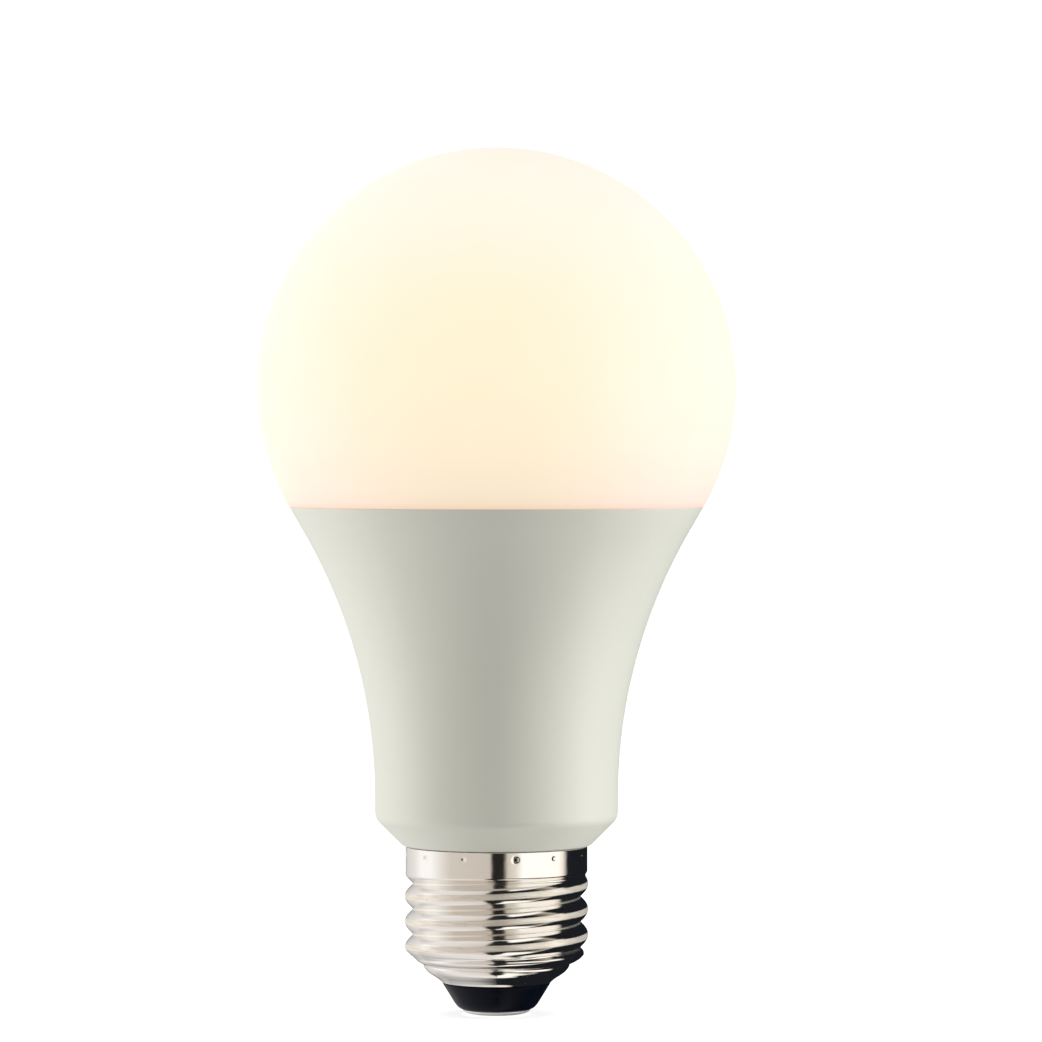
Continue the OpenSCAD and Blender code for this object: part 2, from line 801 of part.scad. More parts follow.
module shell_solder() color("silver") {
    translate(ring_point(shell_joint_r, shell_joint_angle, shell_joint_z)) sphere(r = shell_blob_r);
}

// ---- Screw cap ----

// Rolled thread and cone, as one skin: rings of the outer face, then rings of the inner face
module threaded_shell() {
    n = thread_sides;
    last = thread_rings;
    heights = [for (j = [0 : last]) mouth_z + (skirt_z + tuck_h - mouth_z) * j / last];
    outer = [for (z = heights, i = [0 : n - 1]) let (a = 360 * i / n) ring_point(shell_r(z, a), a, z)];
    inner = [
        for (z = heights, i = [0 : n - 1])
            let (a = 360 * i / n) ring_point(shell_r(z, a) - shell_wall(z), a, z)
    ];
    function out(j, i) = j * n + i % n;
    function in(j, i) = len(outer) + j * n + i % n;
    polyhedron(
        points = concat(outer, inner),
        faces = [
            for (j = [0 : last - 1], i = [0 : n - 1]) each [
                [out(j, i), out(j + 1, i), out(j + 1, i + 1)], [out(j, i), out(j + 1, i + 1), out(j, i + 1)],
                [in(j, i), in(j + 1, i + 1), in(j + 1, i)], [in(j, i), in(j, i + 1), in(j + 1, i + 1)]
            ],
            for (i = [0 : n - 1]) each [
                [out(0, i), out(0, i + 1), in(0, i + 1), in(0, i)],
                [out(last, i + 1), out(last, i), in(last, i), in(last, i + 1)]
            ]
        ]
    );
}

module cap_shell() color("lightsteelblue") {
    threaded_shell();
    translate([0, 0, skirt_z]) tube(skirt_h, skirt_r, skirt_r - cap_wall, $fn = round_fn);
}

// Black glass: a cone below the shell's mouth, and a plug that fills the shell's cone above it
module cap_insulator() color("black") {
    shoulder_r = mouth_r - cap_wall * 2 - gap;
    top_r = shoulder_r + (insulator_top_z - mouth_z) * cone_slope;
    bore_r = pin_r + sleeve_wall + gap;
    // Bead round the contact's edge, then a raised rim and a boss round the sleeve on the inside
    bead = [[5.4, 0.95], [5.9, 1.5]];
    rim_w = 1.4;
    boss_r = 3;
    boss_z = 6.6;
    rotate_extrude() polygon([
        [bore_r, contact_head_t], [contact_r, contact_head_t], each bead,
        [mouth_r - gap / 2, mouth_z - gap], [shoulder_r, mouth_z - gap], [top_r, insulator_top_z],
        [top_r - rim_w, insulator_top_z], [boss_r, mouth_z], [boss_r, boss_z], [bore_r, boss_z]
    ]);
}

module contact_sleeve() color("goldenrod") {
    translate([0, 0, sleeve_z[0]])
        tube(sleeve_z[1] - sleeve_z[0], pin_r + sleeve_wall + gap / 2, pin_r + gap / 2);
}

module centre_contact() color("silver") {
    dome = [[0, 0], [3, 0], [4.2, 0.18], [4.65, 0.38]];
    point_h = 0.5;
    rotate_extrude() polygon([
        each dome, [contact_r, contact_head_t], [pin_r, contact_head_t],
        [pin_r, pin_top_z - point_h], [pin_r / 2, pin_top_z], [0, pin_top_z]
    ]);
}

globe();
globe_adhesive();
housing();
heat_sink();
thermal_paste();
led_board();
led_board_screws();
warm_white_leds();
cool_white_leds();
red_leds();
green_leds();
blue_leds();
pin_header();
header_pins();
driver_board();
bulk_capacitor();
output_capacitor();
supply_capacitor();
film_capacitor();
choke_core();
choke_winding();
varistor();
fusible_resistor();
transformer_core();
transformer_bobbin();
transformer_winding();
bridge_rectifier();
driver_chip();
colour_driver_chip();
output_diode();
chip_resistors();
chip_capacitors();
wireless_board();
module_spacer();
module_pins();
wireless_chip();
crystal();
module_shield();
aerial_trace();
live_lead();
neutral_lead();
contact_solder();
shell_solder();
cap_shell();
cap_insulator();
contact_sleeve();
centre_contact();
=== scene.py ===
"""Smart light bulb: fine meshes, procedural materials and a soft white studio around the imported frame."""

import math

import bpy
import numpy as np
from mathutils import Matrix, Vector

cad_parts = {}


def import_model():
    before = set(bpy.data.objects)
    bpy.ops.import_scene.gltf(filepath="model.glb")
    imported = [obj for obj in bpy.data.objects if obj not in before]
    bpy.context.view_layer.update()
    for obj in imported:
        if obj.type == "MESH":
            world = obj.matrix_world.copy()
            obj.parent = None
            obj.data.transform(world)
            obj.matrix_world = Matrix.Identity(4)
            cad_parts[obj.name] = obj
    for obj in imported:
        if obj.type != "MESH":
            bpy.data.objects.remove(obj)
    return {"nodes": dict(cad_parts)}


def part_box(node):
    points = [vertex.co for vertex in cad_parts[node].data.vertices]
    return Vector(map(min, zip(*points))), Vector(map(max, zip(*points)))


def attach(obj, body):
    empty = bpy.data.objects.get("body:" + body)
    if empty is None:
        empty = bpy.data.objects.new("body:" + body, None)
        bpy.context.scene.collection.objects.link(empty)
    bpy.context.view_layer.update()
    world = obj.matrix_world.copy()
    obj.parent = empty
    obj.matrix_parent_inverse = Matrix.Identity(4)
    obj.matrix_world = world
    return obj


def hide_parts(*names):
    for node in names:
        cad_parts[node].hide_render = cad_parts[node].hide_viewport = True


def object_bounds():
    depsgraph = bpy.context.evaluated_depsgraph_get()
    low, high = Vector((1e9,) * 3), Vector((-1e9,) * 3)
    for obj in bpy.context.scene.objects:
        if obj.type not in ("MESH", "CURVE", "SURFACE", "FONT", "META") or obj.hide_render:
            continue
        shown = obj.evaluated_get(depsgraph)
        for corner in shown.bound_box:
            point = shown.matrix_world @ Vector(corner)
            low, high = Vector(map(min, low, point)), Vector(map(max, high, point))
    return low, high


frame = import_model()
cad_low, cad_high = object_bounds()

MM = 0.001

# ---- Driving sizes, in millimetres, as the frame has them ----

BULB_H = cad_high.z / MM
SEAM_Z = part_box("housing")[1].z / MM
FLARE_ANGLE = math.radians(30)
GLOBE_R = (BULB_H - SEAM_Z) / (1 + math.sin(FLARE_ANGLE))
GLOBE_Z = BULB_H - GLOBE_R
GLOBE_WALL = 1.3
GLOBE_LIP_R = 26.2
GLOBE_LIP_WALL = 1.0
GLOBE_LIP_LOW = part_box("globe")[0].z / MM
GLOBE_LEDGE_T = 1.2

FLARE_RADIUS = 75.5
NECK_R = 17.35
FOOT_R = 13.4
HOUSING_WALL = 1.6
FOOT_Z = 24.1
FOOT_TOP_Z = FOOT_Z + NECK_R - FOOT_R
FLOOR_Z = 26.6
FLOOR_R = FOOT_R + FLOOR_Z - FOOT_Z - HOUSING_WALL * math.sqrt(2)
SEAM_R = GLOBE_R * math.cos(FLARE_ANGLE)
RIM_RUN = (SEAM_R - NECK_R - FLARE_RADIUS * (1 - math.cos(FLARE_ANGLE))) / math.tan(FLARE_ANGLE)
NECK_TOP_Z = SEAM_Z - RIM_RUN - FLARE_RADIUS * math.sin(FLARE_ANGLE)
COLLAR_BORE_R = 10.4
COLLAR_TOP_R = 12.55
COLLAR_LOW_R = 11.7
COLLAR_LOW_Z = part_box("housing")[0].z / MM
SKIRT_TUCK_Z = 20.6
GUIDE_BITE = 2.05
GUIDE_CHEEK = 1.5
GUIDE_GAP = 0.1

CAP_TOP_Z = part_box("cap_shell")[1].z / MM
CAP_MOUTH_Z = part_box("cap_shell")[0].z / MM
CAP_MOUTH_R = 7.8
CONE_TOP_Z = 9.6
SKIRT_R = 12.98
SKIRT_Z = CAP_TOP_Z - 3.5
CREST_R = 13.1
THREAD_DEPTH = 1.1
THREAD_PITCH = 3.629
CREST_AT_X_Z = 15.05
GROOVE_START_Z = (7.2, 9.4)
GROOVE_END_Z = (19.4, SKIRT_Z)
CAP_WALL = 0.3
CONE_SLOPE = (CREST_R - CAP_MOUTH_R) / (CONE_TOP_Z - CAP_MOUTH_Z)

CONTACT_R = 4.8
CONTACT_HEAD_T = 0.7

LED_FACE_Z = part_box("led_board")[1].z / MM
LED_TOP_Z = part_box("red_leds")[1].z / MM
LED_L = 3.5
LED_W = 2.8
WHITE_LEDS = 18
WHITE_RING_R = 17.5
COLOUR_LEDS = 12
COLOUR_RING_R = 12.5
SCREWS = 3
SCREW_RING_R = 21
SCREW_TURN = 10
SCREW_HEAD_R = 2.2
PIN_PITCH = 2.54
PIN_ROW_HALF = 6.3
HEADER_Y = 0.7
DRIVER_FRONT_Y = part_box("driver_board")[0].y / MM
DRIVER_BACK_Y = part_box("driver_board")[1].y / MM
MODULE_BACK_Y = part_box("wireless_board")[1].y / MM


# ---- Meshes ----

def add_mesh(name, points, faces, sharp_deg=35):
    """A smooth-shaded mesh object from points in millimetres, with edges above sharp_deg kept sharp."""
    mesh = bpy.data.meshes.new(name)
    mesh.from_pydata((np.asarray(points, float) * MM).tolist(), [], faces)
    mesh.validate()
    mesh.shade_smooth()
    mesh.set_sharp_from_angle(angle=math.radians(sharp_deg))
    piece = bpy.data.objects.new(name, mesh)
    bpy.context.scene.collection.objects.link(piece)
    return piece


def finish_piece(piece, material, slot, *nodes):
    """Gives a piece its material and its body, and hides the CAD nodes that it stands for. slot is not used.
    """
    piece.data.materials.clear()
    piece.data.materials.append(material)
    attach(piece, "root")
    if nodes:
        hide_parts(*nodes)
    return piece


def ring(radius, z, count):
    """Points of a circle, or of a wavy ring if radius or z is an array of count values."""
    turn = np.arange(count) * 2 * math.pi / count
    return np.stack([radius * np.cos(turn), radius * np.sin(turn), z + 0 * turn], axis=1)


def rings_solid(name, rings, sharp_deg=35):
    """A closed skin through a loop of rings, the last of which joins the first."""
    count = len(rings[0])
    total = len(rings)
    faces = []
    for j in range(total):
        low, high = j * count, (j + 1) % total * count
        for i in range(count):
            k = (i + 1) % count
            faces.append((low + i, low + k, high + k, high + i))
    return add_mesh(name, np.concatenate(rings), faces, sharp_deg)


def lathe(name, outline, count=192, sharp_deg=35):
    """Solid of revolution about Z.

    The outline runs anticlockwise in (radius, height), either from axis to axis or closed.
    """
    points, starts = [], []
    turn = np.arange(count) * 2 * math.pi / count
    for radius, z in outline:
        starts.append(len(points))
        if radius < 1e-6:
            points.append((0, 0, z))
        else:
            points += [(radius * c, radius * s, z) for c, s in zip(np.cos(turn), np.sin(turn))]
    faces = []
    closed = all(radius > 1e-6 for radius, _ in outline)
    for j in range(len(outline) if closed else len(outline) - 1):
        a, b = starts[j], starts[(j + 1) % len(outline)]
        pole_a, pole_b = outline[j][0] < 1e-6, outline[(j + 1) % len(outline)][0] < 1e-6
        for i in range(count):
            k = (i + 1) % count
            if pole_a and not pole_b:
                faces.append((a, b + k, b + i))
            elif pole_b and not pole_a:
                faces.append((a + i, a + k, b))
            elif not pole_a:
                faces.append((a + i, a + k, b + k, b + i))
    return add_mesh(name, points, faces, sharp_deg)


def arc(centre, radius, start_deg, end_deg, steps):
    """Points of an arc in (radius, height), at angles above the +radius direction."""
    return [
        (centre[0] + radius * math.cos(a), centre[1] + radius * math.sin(a))
        for a in np.radians(np.linspace(start_deg, end_deg, steps + 1))
    ]


def rounded(corners, steps=6):
    """A closed outline whose corners (radius, height, fillet length) are rounded by a short curve."""
    out = []
    total = len(corners)
    for n, (x, z, fillet) in enumerate(corners):
        here = Vector((x, z))
        if not fillet:
            out.append((x, z))
            continue
        before = Vector(corners[n - 1][:2]) - here
        after = Vector(corners[(n + 1) % total][:2]) - here
        start = here + before.normalized() * min(fillet, before.length * 0.49)
        end = here + after.normalized() * min(fillet, after.length * 0.49)
        for s in np.linspace(0, 1, steps + 1):
            p = start * (1 - s) ** 2 + here * 2 * s * (1 - s) + end * s * s
            out.append((p.x, p.y))
    return out


def smooth(t):
    t = np.clip(t, 0, 1)
    return t * t * (3 - 2 * t)


# ---- Materials ----

def grey(value):
    return (value, value, value) if isinstance(value, (int, float)) else value


class Surface:
    """A Principled material and the few texture chains that the pieces share. Lengths are in millimetres."""

    def __init__(self, name, **inputs):
        self.material = bpy.data.materials.new(name)
        self.material.use_nodes = True
        self.nodes = self.material.node_tree.nodes
        self.links = self.material.node_tree.links
        self.shader = self.nodes["Principled BSDF"]
        self.place = self.nodes.new("ShaderNodeTexCoord").outputs["Object"]
        for key, value in inputs.items():
            socket = self.shader.inputs[key.replace("_", " ")]
            socket.default_value = (*value, 1) if socket.type == "RGBA" else value

    def link(self, source, target):
        self.links.new(source, target)
        return self

    def node(self, kind, **inputs):
        made = self.nodes.new(kind)
        for key, value in inputs.items():
            socket = made.inputs[key.replace("_", " ")]
            if isinstance(value, bpy.types.NodeSocket):
                self.links.new(value, socket)
            else:
                socket.default_value = value
        return made

    def stretched(self, scale):
        """Object coordinates with each axis scaled, so that noise can be drawn out along one of them."""
        made = self.node("ShaderNodeVectorMath", Vector=self.place)
        made.operation = "MULTIPLY"
        made.inputs[1].default_value = scale
        return made.outputs[0]

    def noise(self, size, detail=3, stretch=None, roughness=0.5):
        """Noise whose blotches are about size millimetres across."""
        place = self.stretched(stretch) if stretch else self.place
        made = self.node(
            "ShaderNodeTexNoise", Vector=place, Scale=1 / (size * MM), Detail=detail, Roughness=roughness
        )
        return made.outputs["Fac"]

    def math(self, operation, first, second=0.0):
        made = self.nodes.new("ShaderNodeMath")
        made.operation = operation
        for socket, value in zip(made.inputs, (first, second)):
            if isinstance(value, bpy.types.NodeSocket):
                self.links.new(value, socket)
            else:
                socket.default_value = value
        return made.outputs[0]

    def ramp(self, value, stops):
        """Colours or greys at positions from 0 to 1."""
        made = self.nodes.new("ShaderNodeValToRGB")
        self.links.new(value, made.inputs[0])
        band = made.color_ramp
        while len(band.elements) < len(stops):
            band.elements.new(0.5)
        for element, (position, colour) in zip(band.elements, stops):
            element.position = position
            element.color = (*colour, 1) if isinstance(colour, tuple) else (colour, colour, colour, 1)
        return made.outputs[0]

    def mix(self, share, first, second):
        made = self.nodes.new("ShaderNodeMix")
        made.data_type = "RGBA"
        for socket, value in zip((made.inputs[0], made.inputs[6], made.inputs[7]), (share, first, second)):
            if isinstance(value, bpy.types.NodeSocket):
                self.links.new(value, socket)
            else:
                socket.default_value = (*value, 1) if isinstance(value, tuple) else value
        return made.outputs[2]

    def span(self, value, low, high):
        """value, from low to high in millimetres, as 0 to 1."""
        made = self.nodes.new("ShaderNodeMapRange")
        self.links.new(value, made.inputs["Value"])
        made.inputs["From Min"].default_value = low * MM
        made.inputs["From Max"].default_value = high * MM
        return made.outputs[0]

    def axes(self):
        return self.node("ShaderNodeSeparateXYZ", Vector=self.place).outputs

    def window(self, value, low, high, edge=0.04):
        """1 between low and high, in millimetres, with edges that soften over twice edge."""
        rise = self.span(value, low - edge, low + edge)
        return self.math("MULTIPLY", rise, self.span(value, high + edge, high - edge))

    def both(self, first, second):
        return self.math("MULTIPLY", first, second)

    def either(self, first, second):
        return self.math("MAXIMUM", first, second)

    def distance(self, u, v, at_u=0, at_v=0):
        """Distance of (u, v) from a place in millimetres."""
        du = self.math("SUBTRACT", u, at_u * MM)
        dv = self.math("SUBTRACT", v, at_v * MM)
        return self.math("SQRT", self.math("ADD", self.both(du, du), self.both(dv, dv)))

    def repeated(self, value, pitch, first):
        """Offset from the nearest of the places first, first + pitch and so on."""
        turns = self.math("DIVIDE", self.math("SUBTRACT", value, first * MM), pitch * MM)
        share = self.math("SUBTRACT", self.math("FRACT", self.math("ADD", turns, 0.5)), 0.5)
        return self.math("MULTIPLY", share, pitch * MM)

    def on_ring(self, x, y, count, ring_r, first_deg=0):
        """Offsets along and out from the nearest of count places on a ring about Z."""
        out = self.distance(x, y)
        turns = self.math("DIVIDE", self.math("ARCTAN2", y, x), 2 * math.pi / count)
        turns = self.math("SUBTRACT", turns, first_deg * count / 360 - 0.5)
        share = self.math("SUBTRACT", self.math("FRACT", turns), 0.5)
        along = self.math("MULTIPLY", self.math("MULTIPLY", share, 2 * math.pi / count), out)
        return along, self.math("SUBTRACT", out, ring_r * MM)

    def mottled(self, colour, size, spread=0.1, stretch=None):
        dark = tuple(c * (1 - spread) for c in colour)
        return self.ramp(self.noise(size, detail=4, stretch=stretch), [(0.3, dark), (0.7, tuple(colour))])

    def coat(self, colour, rough, metal=0.0):
        """The finish underneath, which lay() covers in places."""
        self.finish = (colour, grey(rough), grey(metal))
        return self

    def lay(self, share, colour, rough, metal=0.0):
        """Another finish on top, where share is 1."""
        over = (colour, grey(rough), grey(metal))
        self.finish = tuple(self.mix(share, low, high) for low, high in zip(self.finish, over))
        return self

    def done(self):
        for value, key in zip(self.finish, ("Base Color", "Roughness", "Metallic")):
            socket = self.shader.inputs[key]
            if isinstance(value, bpy.types.NodeSocket):
                self.links.new(value, socket)
            else:
                socket.default_value = (*value, 1) if socket.type == "RGBA" else value[0]
        return self.material

    def bump(self, height, depth):
        """Relief of depth millimetres from a height of 0 to 1."""
        made = self.node("ShaderNodeBump", Strength=1.0, Distance=depth * MM, Height=height)
        self.links.new(made.outputs[0], self.shader.inputs["Normal"])
        return self

    def base(self, colour):
        return self.link(colour, self.shader.inputs["Base Color"])

    def roughness(self, value):
        return self.link(value, self.shader.inputs["Roughness"])


def globe_material():
    """Frosted polycarbonate lit from inside: peach next to the LED board, cream above, palest on top."""
    s = Surface("frosted_globe", Roughness=0.45, Specular_IOR_Level=0.25, Emission_Strength=1.0)
    _, _, z = s.axes()
    height = s.span(z, SEAM_Z, BULB_H)
    glow = s.ramp(height, [
        (0.0, (0.66, 0.53, 0.28)), (0.015, (0.72, 0.63, 0.37)), (0.05, (0.74, 0.68, 0.41)),
        (0.16, (0.80, 0.735, 0.44)), (0.33, (0.79, 0.77, 0.455)), (0.58, (0.79, 0.785, 0.48)),
        (0.8, (0.76, 0.785, 0.54)), (1.0, (0.74, 0.78, 0.58)),
    ])
    s.link(glow, s.shader.inputs["Emission Color"])
    s.base(s.ramp(s.noise(9), [(0.35, (0.35, 0.21, 0.35)), (0.65, (0.37, 0.22, 0.37))]))
    s.roughness(s.ramp(s.noise(2), [(0.3, 0.42), (0.7, 0.50)]))
    return s.bump(s.noise(0.25, detail=2), 0.004).material


def housing_material():
    """Satin moulded plastic with a very fine texture and a hint of flow marks."""
    s = Surface("housing_plastic", Specular_IOR_Level=0.75)
    flow = s.noise(14, stretch=(1, 1, 0.3))
    s.base(s.ramp(flow, [(0.3, (0.765, 0.765, 0.675)), (0.7, (0.785, 0.785, 0.697))]))
    s.roughness(s.ramp(s.noise(1.5), [(0.3, 0.33), (0.7, 0.40)]))
    return s.bump(s.noise(0.12, detail=2), 0.003).material


HAIR_ROUGHNESS = 0.65


def cap_material():
    """Nickel plate, rubbed a little dull along the crests where the cap has been screwed into holders, with
    painted shade in the deep crimp's hollow.
    """
    s = Surface("cap_nickel", Metallic=1.0)
    x, y, z = s.axes()
    radius = s.distance(x, y)
    below_skirt = s.span(z, SKIRT_Z - 0.2, SKIRT_Z - 1.2)
    scuffs = s.noise(1.1, detail=6, stretch=(0.35, 0.35, 2.5), roughness=HAIR_ROUGHNESS)
    reach = s.math("ADD", radius, s.math("MULTIPLY", scuffs, 0.05 * MM))
    crest = s.both(s.span(reach, CREST_R - 0.07, CREST_R - 0.03), below_skirt)
    wear = s.both(crest, s.ramp(scuffs, [(0.3, 0.75), (0.65, 0.97)]))
    hair = s.noise(0.5, detail=4, stretch=(0.15, 0.15, 6))
    plate = s.ramp(hair, [(0.2, (0.84, 0.81, 0.775)), (0.8, (0.88, 0.85, 0.815))])
    gloss = s.ramp(s.noise(0.8, detail=4), [(0.3, 0.06), (0.75, 0.11)])
    s.coat(plate, gloss, 1.0)
    rubbed = s.noise(0.6, detail=6, stretch=(0.2, 0.2, 3), roughness=HAIR_ROUGHNESS)
    s.lay(wear, s.ramp(rubbed, [(0.3, (0.66, 0.57, 0.45)), (0.62, (0.95, 0.88, 0.78))]), 0.4, 0.35)
    groove_r = CREST_R - THREAD_DEPTH
    in_thread = s.window(z, GROOVE_START_Z[1], GROOVE_END_Z[0], 0.6)
    groove = s.both(s.span(radius, groove_r + 0.12, groove_r + 0.02), in_thread)
    s.lay(groove, (0.95, 0.91, 0.85), 0.32, 0.9)
    # Painted shade: a near-black spot about 0.3 mm across in the deep crimp's hollow, on the front half only.
    turn = math.radians(DEEP_CRIMP_TURN - 90)
    aside = s.math("SUBTRACT", s.math("MULTIPLY", y, math.cos(turn)), s.math("MULTIPLY", x, math.sin(turn)))
    front = s.span(y, 0, -1)
    crimp_painted_shade = s.both(s.window(s.distance(aside, z, 0, CRIMP_Z), -1, 0.3, 0.1), front)
    s.lay(crimp_painted_shade, (0.03, 0.028, 0.025), 0.5, 0.5)
    s.bump(s.noise(1.6, detail=2), 0.008)
    return s.done()


def glass_material():
    """Fused black glass: glossy, with soft ripples."""
    s = Surface("cap_glass", Specular_IOR_Level=0.08)
    s.base(s.ramp(s.noise(2), [(0.3, (0.001, 0.002, 0.006)), (0.7, (0.003, 0.005, 0.011))]))
    s.roughness(s.ramp(s.noise(1), [(0.3, 0.26), (0.7, 0.38)]))
    return s.bump(s.noise(1.8, detail=2), 0.03).material


TIN = (0.70, 0.70, 0.69)
BLACK_FILM = (0.03, 0.032, 0.038)
SOLDER = (0.68, 0.69, 0.70)
GILT = (0.85, 0.68, 0.34)

# Places on the driver board: cans as (x, y), parts that lie against the board as (x, z)
BULK_CAN_AT = (0, -3.3)
OUTPUT_CAN_AT = (10.8, -2.2)
SUPPLY_CAN_AT = (-10.4, -0.8)
RESISTOR_AT = (4.5, 39.8)
FILM_CAPACITOR_AT = (4.5, 33)
VARISTOR_AT = (-8.2, 33.5)
CHOKE_AT = (-7.5, 41)
TRANSFORMER_AT = (0, 50.6)


def moulded(name, colour, rough, grain=0.25, relief=0.012, spread=0.08):
    """Moulded or cured plastic and rubber: soft flow marks, uneven gloss and a fine grain."""
    s = Surface(name)
    gloss = s.ramp(s.noise(1.2, detail=4), [(0.3, rough * 0.8), (0.7, rough * 1.15)])
    s.coat(s.mottled(colour, 2.5, spread, stretch=(1, 1, 0.5)), gloss)
    return s.bump(s.noise(grain, detail=4), relief)


def metal(name, tint, rough, stretch=(1, 1, 1), relief=0.008):
    """Bare or plated metal, with hairlines drawn out by stretch and a few duller patches."""
    s = Surface(name)
    hair = s.noise(0.3, detail=5, stretch=stretch)
    gloss = s.ramp(s.noise(1.5, detail=4), [(0.3, rough * 0.75), (0.75, rough * 1.3)])
    s.coat(s.ramp(hair, [(0.3, tuple(0.86 * c for c in tint)), (0.7, tint)]), gloss, 1.0)
    return s.bump(hair, relief)


def contact_material():
    """Plated contact with the dull patches and turned rings that lampholder springs leave."""
    s = metal("contact_metal", (0.86, 0.86, 0.85), 0.42, relief=0.01)
    x, y, _ = s.axes()
    off = s.distance(x, y)
    rings = s.window(s.repeated(off, 0.5, 0), -0.05, 0.05, 0.05)
    s.lay(s.both(s.noise(1.2, detail=4), 0.9), (0.88, 0.88, 0.87), 0.5, 0.3)
    s.lay(s.both(rings, 0.5), (0.60, 0.60, 0.60), 0.45, 0.6)
    return s.done()


def tinned_beyond(s, mask):
    """Tinned leads or terminals where mask is 1."""
    return s.lay(mask, s.mottled(TIN, 0.3, 0.12), 0.24, 1.0)


def led_material(name, count, ring_r, lens, die):
    """White package with tinned ends and a filled window, over a die in its middle."""
    s = Surface(name)
    x, y, z = s.axes()
    along, out = s.on_ring(x, y, count, ring_r)
    s.coat(s.mottled((0.88, 0.88, 0.85), 0.5, 0.06), 0.35)
    low = s.span(z, LED_FACE_Z + 0.40, LED_FACE_Z + 0.34)
    ends = s.span(s.math("ABSOLUTE", along), LED_L / 2 - 0.32, LED_L / 2 - 0.26)
    tinned_beyond(s, s.both(low, ends))
    top = s.span(z, LED_TOP_Z - 0.03, LED_TOP_Z - 0.01)
    reach = s.distance(along, out)
    filled = s.both(top, s.window(reach, -1, LED_W / 2 - 0.25, 0.05))
    s.lay(filled, s.mottled(lens, 0.25, 0.12), 0.14)
    square = s.both(s.window(along, -0.4, 0.4, 0.05), s.window(out, -0.4, 0.4, 0.05))
    s.lay(s.both(filled, square), die, 0.14)
    rim = s.both(top, s.window(reach, LED_W / 2 - 0.28, LED_W / 2 - 0.2, 0.03))
    s.lay(rim, (0.62, 0.62, 0.60), 0.3)
    s.bump(s.math("SUBTRACT", 1.0, filled), 0.12)
    return s.done()


def led_board_material():
    """White solder mask on aluminium, with copper ridges and tinned pads at LEDs, pins and screws."""
    s = Surface("led_board")
    x, y, z = s.axes()
    s.coat(s.mottled((0.90, 0.90, 0.87), 4, 0.04), s.ramp(s.noise(2), [(0.3, 0.28), (0.7, 0.38)]))
    ridges = 0.0
    for count, ring_r in ((WHITE_LEDS, WHITE_RING_R), (COLOUR_LEDS, COLOUR_RING_R)):
        along, out = s.on_ring(x, y, count, ring_r)
        plane = s.both(s.window(out, -1.7, 1.7), s.span(s.math("ABSOLUTE", along), 0.2, 0.3))
        ridges = s.either(plane, ridges)
        pad = s.both(s.window(out, -1.2, 1.2), s.window(s.math("ABSOLUTE", along), 1.2, LED_L / 2 + 0.3))
        tinned_beyond(s, pad)
    s.lay(s.both(ridges, 0.35), (0.80, 0.80, 0.74), 0.3)
    along, out = s.on_ring(x, y, SCREWS, SCREW_RING_R, SCREW_TURN)
    landing = s.window(s.distance(along, out), -1, SCREW_HEAD_R + 0.5)
    s.lay(landing, s.mottled((0.72, 0.72, 0.70), 0.5), 0.35, 1.0)
    pins = s.distance(s.repeated(x, PIN_PITCH, 0), y, 0, HEADER_Y)
    tinned_beyond(s, s.both(s.window(pins, -1, 0.85), s.window(x, -PIN_ROW_HALF, PIN_ROW_HALF)))
    core = s.span(z, LED_FACE_Z - 0.16, LED_FACE_Z - 0.2)
    s.lay(core, s.mottled((0.76, 0.77, 0.78), 0.4, 0.15, stretch=(1, 1, 4)), 0.32, 1.0)
    s.bump(ridges, 0.035)
    return s.done()


def laminate_material(name, mask, low_y, high_y, across):
    """Glass laminate under solder mask: copper runs that show through it, via holes whose middles are painted
    shade, and cut edges.
    """
    s = Surface(name)
    x, y, z = s.axes()
    s.coat(s.mottled(mask, 3, 0.1), s.ramp(s.noise(1.5), [(0.3, 0.2), (0.7, 0.3)]))
    areas = s.noise(5, detail=0)
    upright = s.both(s.window(s.repeated(x, across, 0), -0.22, 0.22, 0.03), s.span(areas, 500, 520))
    level = s.both(s.window(s.repeated(z, across, 0.4), -0.22, 0.22, 0.03), s.span(areas, 500, 480))
    runs = s.either(upright, level)
    s.lay(runs, tuple(min(1, 1.45 * c + 0.03) for c in mask), 0.22)
    via = s.distance(s.repeated(x, 3 * across, 1.1), s.repeated(z, 3 * across, 0.9))
    tinned_beyond(s, s.window(via, 0.16, 0.34, 0.03))
    # Painted shade: the middle of each via is near black, standing in for the dark inside the hole.
    s.lay(s.window(via, -1, 0.16, 0.02), (0.02, 0.02, 0.02), 0.6)
    edge = s.window(y, low_y + 0.05, high_y - 0.05, 0.01)
    s.lay(edge, s.mottled((0.62, 0.58, 0.36), 0.2, 0.2, stretch=(1, 4, 1)), 0.6)
    s.bump(runs, 0.03)
    return s.done()


